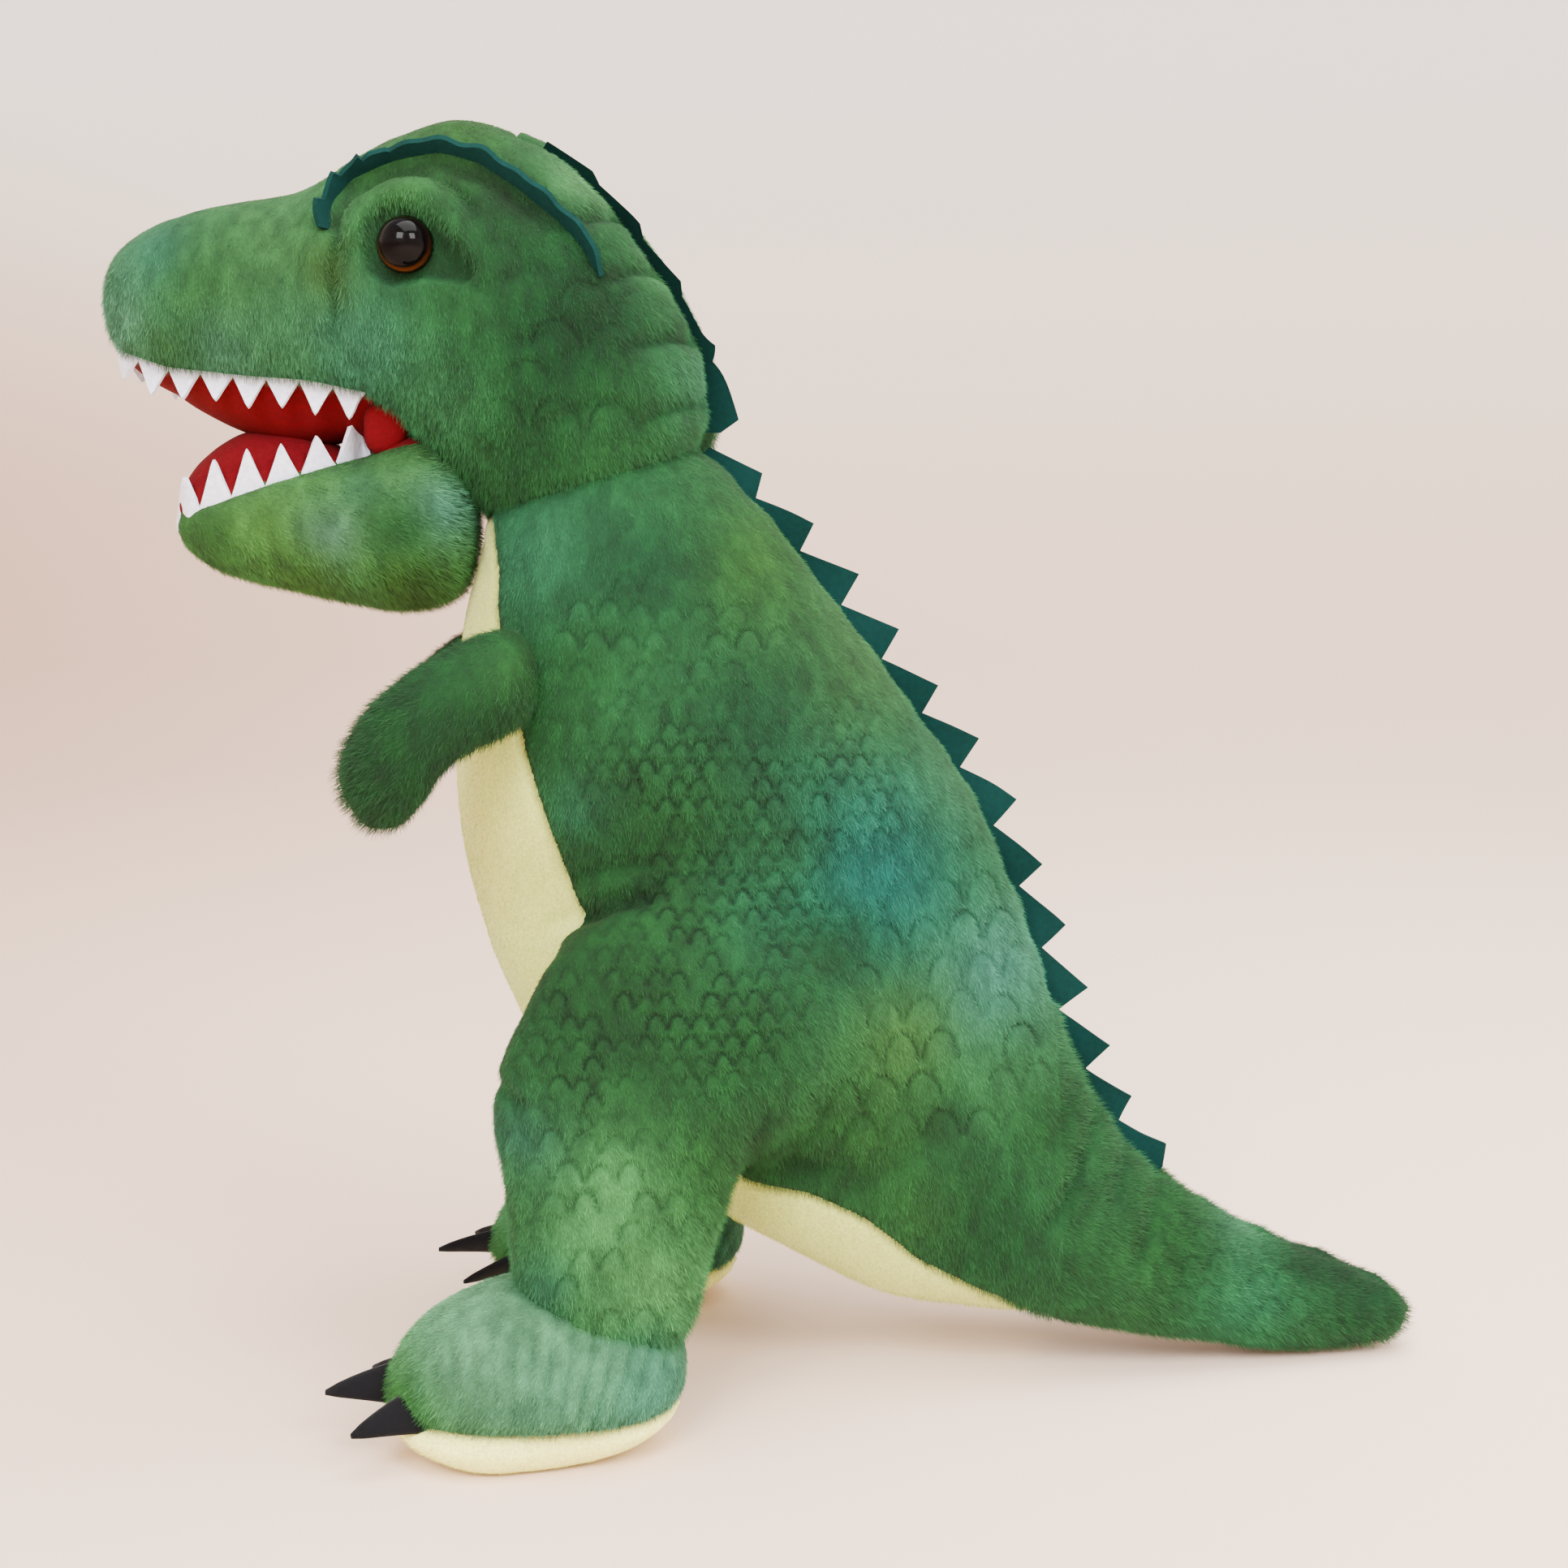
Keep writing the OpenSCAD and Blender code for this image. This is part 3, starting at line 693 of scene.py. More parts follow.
def make_jaw():
    """The stuffed jaw, and the padded floor of the mouth on it."""
    v, f = stuffed(["jaw_stuffing"], SMALL_VOXEL, close=0)
    v, f = subdivide(v, f, 1)
    n = normals(v, f)
    g = lining_side(v)
    plush = step(-g, 0, 1.5)
    fullness = step(v[:, 0], -101, -88) * step(v[:, 2], 192, 206)
    v = v + np.array([2.5, 0, 8.0]) * fullness[:, None]
    ribs = np.sin((v[:, 0] + 0.25 * v[:, 2]) / 8.5 * 6.283) * sideways(n)
    out = plush * (0.5 * clouds(v, 20, 60) + 0.2 * clouds(v, 6, 61) + 0.25 * ribs)
    out -= 0.9 * bump(g, 1.2)
    v = v + n * out[:, None]
    v[:, 2] += 10.5 * step(g, 0.5, 7) * bump(v[:, 0] + 111, 34)
    v, g = snap(v, f, lining_side(v))
    # Painted shade along the lip where the skin turns into the mouth
    dark = 0.5 * bump(g, 1.0) * (g <= 0)
    return v, f, g, dark


def make_arm(side):
    """A stuffed arm, flattened where it is sewn and drawn in to the chest there."""
    v, f = stuffed([f"arm_stuffing_{side}"], SMALL_VOXEL, close=0)
    v, f = subdivide(v, f, 1)
    n = normals(v, f)
    v = v + n * (0.5 * clouds(v, 14, 70) + 0.3 * clouds(v, 5, 71))[:, None]
    v[:, 0] -= 0.48 * np.maximum(v[:, 0] + 66, 0)
    v[:, 1] -= np.sign(v[:, 1]) * 8.5 * step(v[:, 0], -88, -62)
    return v, f


SOLE_SEAM = 9.6       # height of the seam between the foot and its sole


def make_foot(side):
    """The foot's upper, down to its sole, with shallow ribs that fan back from the toes."""
    v, f = stuffed([f"foot_stuffing_{side}"], SMALL_VOXEL, close=0)
    v, f = subdivide(v, f, 1)
    n = normals(v, f)
    centre = (node_box(f"foot_upper_{side}")[0] + node_box(f"foot_upper_{side}")[1]) / 2
    fan = np.arctan2(v[:, 2] + 40, v[:, 0] - centre[0])
    ribs = bump(((fan / 0.062 + 0.3 * clouds(v, 20, 82)) % 1) - 0.5, 0.16) * sideways(n)
    ribs *= np.clip(0.6 + 0.8 * clouds(v, 12, 83), 0, 1)
    v = v + n * (0.5 * clouds(v, 18, 80) + 0.2 * clouds(v, 6, 81) - 0.8 * ribs)[:, None]
    v, _ = snap(v, f, v[:, 2] - SOLE_SEAM)
    v, f, used = part_of(v, f, face_mean(v[:, 2] - SOLE_SEAM, f) > -0.02)
    edge = bump(v[:, 2] - SOLE_SEAM, 1.6)
    v[:, :2] += (centre[:2] - v[:, :2]) * (0.035 * edge)[:, None]
    # Last, the painted shade in the rib grooves and along the edge drawn in over the sole
    return v, f, 0.5 * ribs[used] + 0.3 * edge


def make_sole(side):
    """The padded sole, which bulges below its seam and lifts at the toe and heel."""
    v, f = stuffed([f"sole_{side}"], SMALL_VOXEL, close=0, skin=0.6, rounds=8)
    v, f = subdivide(v, f, 1)
    c = v.mean(0)
    bulge = 0.045 * bump(v[:, 2] - 4.8, 3.4) - 0.02 * bump(v[:, 2] - 9.5, 1.5)
    v[:, :2] += (v[:, :2] - c[:2]) * bulge[:, None]
    ends = np.abs(v[:, 0] - c[0]) / (v[:, 0].max() - c[0])
    v[:, 2] += 6.0 * np.minimum(ends, 1.0) ** 2.2 * np.clip(1 - v[:, 2] / 11, 0, 1)
    v[:, 2] = np.maximum(v[:, 2], 0.15)
    return v, f


# ---------------------------------------------------------------- materials


def tree(name):
    m = bpy.data.materials.new(name)
    m.use_nodes = True
    return m, m.node_tree.nodes, m.node_tree.links, m.node_tree.nodes["Principled BSDF"]


def surface(b, rough, specular=0.5, sheen=0.0):
    b.inputs["Roughness"].default_value = rough
    b.inputs["Specular IOR Level"].default_value = specular
    b.inputs["Sheen Weight"].default_value = sheen


def paint_of(nodes):
    """The colour painted on the piece: its print, with painted highlights and painted shade."""
    paint = nodes.new("ShaderNodeVertexColor")
    paint.layer_name = "paint"
    return paint.outputs["Color"]


def noise_of(nodes, links, scale, detail=3.0):
    place = nodes.new("ShaderNodeTexCoord")
    n = nodes.new("ShaderNodeTexNoise")
    n.inputs["Scale"].default_value = scale
    n.inputs["Detail"].default_value = detail
    links.new(place.outputs["Object"], n.inputs["Vector"])
    return n.outputs["Fac"]


def spread(nodes, links, amount, low, high, start=0.0, end=1.0, kind="LINEAR"):
    """A value that runs from low to high while amount runs from start to end."""
    span = nodes.new("ShaderNodeMapRange")
    span.interpolation_type = kind
    span.inputs["From Min"].default_value, span.inputs["From Max"].default_value = start, end
    span.inputs["To Min"].default_value, span.inputs["To Max"].default_value = low, high
    links.new(amount, span.inputs["Value"])
    return span.outputs["Result"]


def shade_by(nodes, links, colour, amount, low, high):
    """Colour times a value that runs from low to high with amount."""
    mix = nodes.new("ShaderNodeMix")
    mix.data_type, mix.blend_type = "RGBA", "MULTIPLY"
    mix.inputs["Factor"].default_value = 1
    links.new(colour, mix.inputs["A"])
    links.new(spread(nodes, links, amount, low, high), mix.inputs["B"])
    return mix.outputs["Result"]


def plain(name, base, rough):
    m, nodes, links, b = tree(name)
    b.inputs["Base Color"].default_value = (*srgb(base), 1)
    surface(b, rough)
    return m


def painted(name, dim, sheen):
    """Backing cloth of the plush in its painted colour, dimmed by dim: painted shade under the pile."""
    m, nodes, links, b = tree(name)
    grain = noise_of(nodes, links, 1400)
    cloth = shade_by(nodes, links, paint_of(nodes), grain, dim * 0.6, dim * 1.4)
    links.new(cloth, b.inputs["Base Color"])
    surface(b, 0.9, 0.2, sheen)
    return m


def fibre(name, low, high):
    """Pile strands in the painted colour, each a little different, and lighter to the tips: painted shade
    deep in the pile toward the root.
    """
    m, nodes, links, b = tree(name)
    info = nodes.new("ShaderNodeHairInfo")
    tip = shade_by(nodes, links, paint_of(nodes), info.outputs["Intercept"], low, high)
    links.new(shade_by(nodes, links, tip, info.outputs["Random"], 0.55, 1.45), b.inputs["Base Color"])
    surface(b, 0.55, 0.3, 0.04)
    return m


def felt(name, base, fuzz=0.0):
    """Pressed wool: an even colour with a fine grain that also roughens the surface."""
    m, nodes, links, b = tree(name)
    colour = nodes.new("ShaderNodeRGB")
    colour.outputs[0].default_value = (*srgb(base), 1)
    grain = noise_of(nodes, links, 900, 6)
    links.new(shade_by(nodes, links, colour.outputs[0], grain, 0.62, 1.34), b.inputs["Base Color"])
    surface(b, 0.95, 0.15, fuzz)
    height = nodes.new("ShaderNodeBump")
    height.inputs["Strength"].default_value = 0.5
    height.inputs["Distance"].default_value = 0.0003
    links.new(grain, height.inputs["Height"])
    links.new(height.outputs["Normal"], b.inputs["Normal"])
    return m


def glossy(name):
    m, nodes, links, b = tree(name)
    links.new(paint_of(nodes), b.inputs["Base Color"])
    surface(b, 0.03, 0.08)
    return m


PLUSH = [painted("plush_backing", 0.5, 0.0), fibre("plush_pile", 0.5, 1.5)]
# The materials of each slot
CLOTH = {"green_plush": PLUSH, "light_green_plush": PLUSH,
         "yellow_plush": [painted("velour_cloth", 0.95, 0.3), fibre("velour_pile", 0.9, 1.1)],
         "green_felt": [felt("green_felt", (0, 41, 38))],
         "red_felt": [felt("red_felt", RED)],
         "white_felt": [felt("white_felt", (222, 226, 244), 0.1)],
         "black_felt": [felt("black_felt", (9, 9, 13), 0.05)],
         "eye_plastic": [glossy("eye_plastic")]}
WASHER = plain("washer_plastic", (225, 225, 220), 0.4)

# ---------------------------------------------------------------- pieces


def set_paint(obj, paint):
    mesh = obj.data
    loops = np.zeros(len(mesh.loops), int)
    mesh.loops.foreach_get("vertex_index", loops)
    layer = mesh.color_attributes.new("paint", "BYTE_COLOR", "CORNER")
    rgba = np.ones((len(loops), 4))
    rgba[:, :3] = np.clip(paint, 0, 1)[loops]
    layer.data.foreach_set("color", rgba.ravel())


def area_of(v, f):
    return 0.5 * np.linalg.norm(np.cross(v[f[:, 2]] - v[f[:, 0]], v[f[:, 3]] - v[f[:, 1]]), axis=1).sum()


DENSITY = 5                  # strands a square millimetre
HAIR_UNIT = MM / 4           # a strand's speed of 1 is this much length
DOWN = (0.25, 0, -0.95)      # how the pile lies on the body and the head
AFT = (0.9, 0, -0.4)         # and on the tail


def grow(obj, area, length, nap, seed, thick=0.14, rough=0.35, short=None):
    """Pile on a piece: length in millimetres, nap the way it lies, short 0 to 1 where it is pressed."""
    m = obj.modifiers.new("pile", "PARTICLE_SYSTEM")
    p = m.particle_system
    p.seed = seed
    s = p.settings
    s.type = "HAIR"
    if short is not None:
        group = obj.vertex_groups.new(name="pile")
        level = np.round((1 - np.clip(short, 0, 0.85)) * 10).astype(int)
        for k in np.unique(level):
            group.add(np.flatnonzero(level == k).tolist(), k / 10, "REPLACE")
        p.vertex_group_length = "pile"
    s.use_advanced_hair = True
    s.count = int(area * DENSITY * (1))
    s.hair_step = 3
    s.emit_from = "FACE"
    s.distribution = "RAND"
    s.use_emit_random = True
    s.use_even_distribution = True
    s.normal_factor = length * 0.52 * HAIR_UNIT
    s.object_align_factor = tuple(length * 0.75 * HAIR_UNIT * c for c in nap)
    s.factor_random = length * rough * HAIR_UNIT
    s.length_random = 0.5
    s.material = 2
    s.root_radius, s.tip_radius, s.radius_scale = 1.0, 0.35, thick * MM / 2
    s.display_step, s.render_step = 2, 2


def piece(name, v, f, paint, slot, covers, body=None, ends=None, weights=None, **pile):
    """A finished soft piece over the CAD nodes it covers, with its pile if it has any.
    It rides one body if one is given. Its ends and weights are not used."""
    obj = as_object(name, v, f, CLOTH[slot])
    set_paint(obj, paint)
    if body:
        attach(obj, body)
    else:
        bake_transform(obj)
    if pile:
        grow(obj, area_of(v, f), **pile)
    if covers:
        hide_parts(*covers)


def one_colour(colour, v, grain=0.0, size=1.0, seed=0):
    """A colour for every point, a little uneven where grain is above 0."""
    paint = np.tile(srgb(colour), (len(v), 1))
    return paint * (1 + grain * clouds(v, size, seed))[:, None] if grain else paint


SIDES = (("left", -1), ("right", 1))
TAIL_BEND = ("torso", "tail", Vector((0.066, 0, 0.02)), Vector((0.108, 0, 0.02)))


def add_body():
    """The two flanks with their legs, the two sides of the tail, and the velour belly."""
    v, f, belly, dark, line = make_body()
    left = face_mean(v[:, 1], f) < 0
    halves = (("left", left), ("right", ~left))
    tail = face_mean(v[:, 0], f) > TAIL_CUT
    yellow = (face_mean(belly, f) < 0) & ~tail
    # Painted shade of the folds and seams, and along the pressed scale outlines
    shade = (1 - 0.68 * dark) * (1 - 0.72 * line)
    green = airbrush_and_painted_light(v, GREEN, BODY_BLOTCHES, 11) * shade[:, None]
    hips = leg_share(v, belly)
    tails = step(v[:, 0], 66, 108)
    for k, (side, mask) in enumerate(halves):
        pv, pf, used = part_of(v, f, mask & ~tail & ~yellow)
        hip = Vector(node_box(f"leg_skin_{side}")[1]) * MM
        bend = ("torso", f"leg_{side}", hip, hip - Vector((0, 0, 0.04)))
        covers = (f"body_skin_{side}", "body_stuffing", f"leg_skin_{side}", f"leg_stuffing_{side}")
        piece(f"body_{side}", pv, pf, green[used], "green_plush", covers, ends=bend, weights=hips[used],
              length=1.9, nap=DOWN, seed=1 + k, short=line[used])
        pv, pf, used = part_of(v, f, mask & tail)
        covers = (f"tail_skin_{side}", "tail_stuffing")
        piece(f"tail_{side}", pv, pf, green[used], "green_plush", covers, ends=TAIL_BEND,
              weights=tails[used], length=2.1, nap=AFT, seed=3 + k, short=line[used])
    pv, pf, used = part_of(v, f, yellow)
    # The velour, with painted shade along its seam
    paint = one_colour(YELLOW, pv, 0.04, 9, 90) * (1 - 0.3 * bump(belly[used], 1.0))[:, None]
    piece("belly_velour", pv, pf, paint, "yellow_plush", ("belly_panel",), body="torso",
          length=0.8, nap=DOWN, seed=5, thick=0.1)


def add_head():
    """The two halves of the head, and the red palate. Gives back the head's points."""
    v, f, g, dark, line = make_head()
    # Painted shade of the folds, socket, seams and scale outlines
    shade = (1 - 0.66 * dark) * (1 - 0.6 * line)
    paint = airbrush_and_painted_light(v, (88, 138, 84), HEAD_BLOTCHES, 12) * shade[:, None]
    nostril = bump(np.hypot(v[:, 0] + 153, v[:, 2] - 256), 2.0) * bump(np.abs(v[:, 1]) - 9, 2.2)
    paint += (srgb((150, 84, 52)) - paint) * (0.5 * nostril)[:, None]
    red = face_mean(g, f) > 0
    left = face_mean(v[:, 1], f) < 0
    halves = (("left", left), ("right", ~left))
    for k, (side, mask) in enumerate(halves):
        pv, pf, used = part_of(v, f, mask & ~red)
        piece(f"head_{side}", pv, pf, paint[used], "green_plush", (f"head_skin_{side}", "head_stuffing"),
              body="head", length=2.0, nap=DOWN, seed=11 + k, short=line[used])
    pv, pf, _ = part_of(v, f, red)
    piece("palate", pv, pf, one_colour(RED, pv), "red_felt", ("palate_lining",), body="head")
    return v


def add_jaw():
    """The jaw and the red floor of the mouth. Gives back the jaw's points."""
    v, f, g, dark = make_jaw()
    # With painted shade along the lip
    paint = airbrush_and_painted_light(v, (122, 162, 96), JAW_BLOTCHES, 14) * (1 - 0.6 * dark)[:, None]
    red = face_mean(g, f) > 0
    pv, pf, used = part_of(v, f, ~red)
    piece("jaw", pv, pf, paint[used], "light_green_plush", ("jaw_skin", "jaw_stuffing"), body="jaw",
          length=2.1, nap=(0.9, 0, -0.5), seed=21)
    pv, pf, _ = part_of(v, f, red)
    piece("mouth_floor", pv, pf, one_colour(RED, pv), "red_felt", ("mouth_lining",), body="jaw")
    return v


def add_arms():
    for k, (side, _) in enumerate(SIDES):
        v, f = make_arm(side)
        paint = airbrush_and_painted_light(v, (46, 94, 50), ARM_BLOTCHES, 15 + k)
        piece(f"arm_{side}", v, f, paint, "green_plush", (f"arm_skin_{side}", f"arm_stuffing_{side}"),
              body=f"arm_{side}", length=2.3, nap=(-0.7, 0, -0.7), seed=31 + k, rough=0.5)


def add_feet():
    """The two feet and their soles."""
    for k, (side, sign) in enumerate(SIDES):
        v, f, dark = make_foot(side)
        shift = FOOT_BACK if sign > 0 else 0
        # With painted shade in the ribs and along the sole seam
        paint = airbrush_and_painted_light(v, (146, 188, 136), FOOT_BLOTCHES, 17 + k, shift) * (1 - 0.5 * dark)[:, None]
        covers = (f"foot_upper_{side}", f"foot_stuffing_{side}")
        piece(f"foot_{side}", v, f, paint, "light_green_plush", covers, body=f"foot_{side}",
              length=1.7, nap=(-0.5, 0, -0.85), seed=41 + k)
        v, f = make_sole(side)
        paint = one_colour(SOLE, v, 0.04, 7, 91)
        piece(f"sole_pad_{side}", v, f, paint, "yellow_plush", (f"sole_{side}",), body=f"foot_{side}",
              length=0.8, nap=(-0.9, 0, 0.2), seed=43 + k, thick=0.1)


# ---------------------------------------------------------------- felt trim and eyes


def tube_faces(rings, count):
    """The quads between rings of count points each."""
    return np.array([(i * count + k, i * count + (k + 1) % count, (i + 1) * count + (k + 1) % count,
                      (i + 1) * count + k) for i in range(rings - 1) for k in range(count)])


def ribbon(name, base, up, out, top, root, thick, slot, rows):
    """A closed felt strip: a column at each base point, from root below it to top above."""
    base, up, out = np.array(base, float), unit(np.array(up, float)), unit(np.array(out, float))
    n = len(base)
    share = np.linspace(0, 1, rows)[None, :, None]
    reach = -np.asarray(root) * np.ones(n)
    tall = np.asarray(top) * np.ones(n)
    level = reach[:, None, None] + (tall - reach)[:, None, None] * share
    front = base[:, None] + up[:, None] * level + out[:, None] * thick / 2
    rear = base[:, None] + up[:, None] * level - out[:, None] * thick / 2
    v = np.concatenate([front.reshape(-1, 3), rear.reshape(-1, 3)])
    f = []

    def at(face, i, j):
        return face * n * rows + i * rows + j

    for i in range(n - 1):
        for j in range(rows - 1):
            f.append((at(0, i, j), at(0, i + 1, j), at(0, i + 1, j + 1), at(0, i, j + 1)))
            f.append((at(1, i, j), at(1, i, j + 1), at(1, i + 1, j + 1), at(1, i + 1, j)))
        f.append((at(0, i, rows - 1), at(0, i + 1, rows - 1), at(1, i + 1, rows - 1), at(1, i, rows - 1)))
        f.append((at(0, i, 0), at(1, i, 0), at(1, i + 1, 0), at(0, i + 1, 0)))
    for j in range(rows - 1):
        f.append((at(0, 0, j), at(0, 0, j + 1), at(1, 0, j + 1), at(1, 0, j)))
        f.append((at(0, n - 1, j), at(1, n - 1, j), at(1, n - 1, j + 1), at(0, n - 1, j + 1)))
    obj = as_object(name, v, np.array(f), CLOTH[slot])
    m = obj.modifiers.new("edges", "EDGE_SPLIT")
    m.split_angle = math.radians(50)
    return obj


def finish_felt(obj, slot, length, deep, held, covers, body):
    v, f = arrays(obj.data)
    if body:
        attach(obj, body)
    else:
        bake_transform(obj)
    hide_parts(covers)


def resample(path, count):
    """Points evenly along a smooth curve through the given points."""
    path = np.array(path, float)
    run = running(path)
    t = np.linspace(0, run[-1], count)
    out = np.stack([np.interp(t, run, path[:, k]) for k in range(path.shape[1])], 1)
    return ease(out, count // 24), run[-1]


def on_skin(v, x, z, sign):
    """The y of the surface at points of the side view, on one side."""
    mine = v[np.sign(v[:, 1]) == sign]
    out = []
    for px, pz in zip(x, z):
        d = np.hypot(mine[:, 0] - px, mine[:, 2] - pz)
        out.append(mine[np.argsort(d)[:6], 1].mean())
    return ease(np.array(out), 6)


def tooth_wave(s, count, sharp=1.0, least=0.0):
    """0 to 1 triangles with slightly hollow flanks and blunt tips."""
    t = 1 - np.abs(((s * count) % 1) * 2 - 1)
    return least + (1 - least) * np.minimum(t ** sharp, 0.94) / 0.94


TOOTH_BAND = 11.6     # height of the felt the teeth are cut from


def add_teeth(v_head, v_jaw):
    """The rows of teeth along the lips: skin, line, how many, which way, how long, least share, body."""
    rows = (("upper", v_head, UPPER_LIP[1:7], 8, -1, 6.9, 0.0, "head"),
            ("lower", v_jaw, LOWER_LIP[1:6] + [(-97, 217)], 6, 1, 9.4, 0.06, "jaw"))
    for name, skin, lip, count, way, long, band, body in rows:
        for side, sign in SIDES:
            line, length = resample(lip, count * 12 + 1)
            y = on_skin(skin, line[:, 0], line[:, 1], sign)
            base = np.stack([line[:, 0], y - sign * 0.1, line[:, 1] - max(way, 0) * 1.3], 1)
            s = np.linspace(0, 1, len(base))
            rng = np.random.default_rng(7 + count)
            size = 0.88 + 0.24 * rng.random(count + 1)
            tooth = np.minimum((s * count).astype(int), count - 1)
            tall = long * tooth_wave(s, count, 1.08, band) * size[tooth]
            tall *= (0.8 + 0.2 * step(s, 0, 0.2)) * (0.25 + 0.75 * step(1 - s, 0, 0.05))
            along = np.gradient(base, axis=0)
            up = np.tile([0, (0.34 if way < 0 else 0.1) * sign, 1.0 * way], (len(base), 1))
            out = np.cross(along, up) * (sign * way)
            out *= np.sign(out[:, 1:2]) * sign
            root = 3.2 if way < 0 else 2.2
            obj = ribbon(f"{name}_felt_teeth_{side}", base, up, out, tall, root, 1.1, "white_felt", 6)
            covers = f"{name}_teeth_{side}"
            finish_felt(obj, "white_felt", length * 1.06, TOOTH_BAND, "stretched", covers, body)


def spike_profile(s, count, height, seed):
    """Teeth that climb slowly and drop steeply, like a row of thorns."""
    t = (s * count) % 1
    rise = np.where(t < 0.8, t / 0.8, (1 - t) / 0.2)
    k = np.minimum((s * count).astype(int), count - 1)
    size = np.random.default_rng(seed).random(count) * 0.16 + 0.9
    taper = np.minimum(1, 0.62 + 0.38 * np.minimum(k, count - 1 - k) / 2)
    return 1.6 + (height - 1.6) * rise * size[k] * taper


def along_and_away(line):
    """Unit directions along a line of the side view, and across it."""
    along = unit(np.gradient(line, axis=0))
    return along, np.stack([-along[:, 1], along[:, 0]], 1)


def add_spikes():
    """The felt strips in the middle seam: one up the back, and a smaller one down the nape."""
    back = [(-21, 218), (-4, 199.5), (15, 174.5), (33, 150.5), (43, 135.5), (50, 120.5), (57, 102.5),
            (62, 84.5), (69, 69.5), (76, 58.5), (82, 51), (88, 45.5)]
    nape = [(-57, 287), (-46, 278), (-38, 269), (-26, 251), (-20.5, 235), (-21, 222)]
    for name, path, count, height, root, body in (("back", back, 13, 9.4, 4.5, None),
                                                  ("nape", nape, 5, 4.6, 6.5, "head")):
        line, length = resample(path, count * 15 + 1)
        s = np.linspace(0, 1, len(line))
        _, away = along_and_away(line)
        away *= np.sign(away[:, :1] + away[:, 1:])
        tall = spike_profile(s, count, height, 5)
        lean = 0.2 * np.sin(s * count * 2.1 + 1) - 0.08
        wave = 0.35 * np.sin(s * count * 3.3)
        if body:
            # The nape's strip ends in one large tooth that leans over and out of the seam
            tall = tall * (1 + 1.5 * step(s, 0.7, 0.88))
            lean = lean - 1.5 * (1 - step(s, 0.6, 0.95))
            wave = wave - 4.5 * np.sin(math.pi * np.clip(s, 0, 0.98) ** 0.8)
        base = np.stack([line[:, 0], wave, line[:, 1]], 1)
        base -= np.stack([away[:, 0], 0 * s, away[:, 1]], 1) * 0.6
        up = np.stack([away[:, 0], lean, away[:, 1]], 1)
        out = np.tile([0, -1.0, 0], (len(s), 1))
        obj = ribbon(f"{name}_felt_spikes", base, up, out, tall, root, FELT, "green_felt", 7)
        covers = "head_spikes" if body else "back_spikes"
        finish_felt(obj, "green_felt", length, tall.max() + root, "stretched", covers, body)


BROW = [(-104, 265), (-103.5, 270.5), (-99.5, 276.5), (-90, 280.5), (-79, 282), (-70, 279.5),
        (-61, 273.5), (-52.5, 266.5), (-47, 260), (-44.5, 254.5)]


BROW_BAND, BROW_ROOT = 11.0, 6.8


def add_brows(v_head):
    """The felt brows, scalloped in front, that stand out over the eyes."""
    for side, sign in SIDES:
        line, length = resample(BROW, 121)
        y = on_skin(v_head, line[:, 0], line[:, 1], sign)
        base = np.stack([line[:, 0], y + sign * 0.2, line[:, 1]], 1)
        s = np.linspace(0, 1, len(base))
        along, away = along_and_away(line)
        away *= np.sign((away * (line - np.array([-78, 250]))).sum(1))[:, None]
        scallop = 2.3 * (((s * 14) % 1) - 0.45) * (1 - step(s, 0.2, 0.34))
        scallop += 0.4 * np.sin(s * 61) + 0.3 * np.sin(s * 37)
        tall = 3.6 * (0.75 + 0.25 * step(s, 0, 0.1)) * (0.45 + 0.55 * step(1 - s, 0, 0.12)) + scallop
        up = np.stack([away[:, 0] * 0.55, np.full(len(s), 0.85 * sign), away[:, 1] * 0.55 + 0.1], 1)
        side_dir = np.stack([along[:, 0], 0 * s, along[:, 1]], 1)
        out = np.cross(side_dir, up)
        out *= np.sign((out * np.array([0, 0, 1.0])).sum(1) + 1e-3)[:, None]
        obj = ribbon(f"brow_felt_{side}", base, up, out, tall, BROW_ROOT, FELT, "green_felt", 6)
        finish_felt(obj, "green_felt", length, BROW_BAND, "stretched", f"brow_strip_{side}", "head")


CLAW_CUT = (46, 21)   # the felt of one foot's claws


def add_claws():
    """Three felt claws a foot, from the toe down and forward."""
    for side, sign in SIDES:
        lo, hi = node_box(f"claws_{side}")
        cy = (lo[1] + hi[1]) / 2
        toe = lo[0] + 15
        rings, count = 9, 12
        # Where each claw leaves the toe, the way it turns and how long it is
        roots = [((toe, cy, 14), 0, 15),
                 ((toe + 5, cy - 13, 12), 1, 14),
                 ((toe + 5, cy + 13, 12), -1, 14)]
        v, f = [], []
        for root, turn, long in roots:
            a = math.radians(32) * turn
            d = np.array([-math.cos(a), -math.sin(a), 0.0])
            w = np.array([-d[1], d[0], 0.0]) * 0.62 + np.array([0, 0, 0.78 * sign])
            thin = np.cross(d, w)
            start = len(v)
            for i in range(rings):
                t = i / (rings - 1)
                c = np.array(root) + d * (-6 + (long + 6) * t) + np.array([0, 0, -2.2 * t * t + 0.4])
                half = 5.6 * (1 - t) ** 0.8 + 0.6
                deep = 1.3 * (1 - t) ** 0.6 + 0.5
                for k in range(count):
                    q = 2 * math.pi * k / count
                    v.append(c + w * half * math.cos(q) + thin * deep * math.sin(q))
            f += (tube_faces(rings, count) + start).tolist()
            caps = range(count // 2 - 1)
            f += [(start + k, start + 11 - k, start + 10 - k, start + k + 1) for k in caps]
            e = start + (rings - 1) * count
            f += [(e + k, e + k + 1, e + 10 - k, e + 11 - k) for k in caps]
        obj = as_object(f"felt_claws_{side}", np.array(v), np.array(f), CLOTH["black_felt"])
        finish_felt(obj, "black_felt", *CLAW_CUT, "folded", f"claws_{side}", f"foot_{side}")


PUPIL, AMBER = (5, 4, 5), (72, 36, 12)


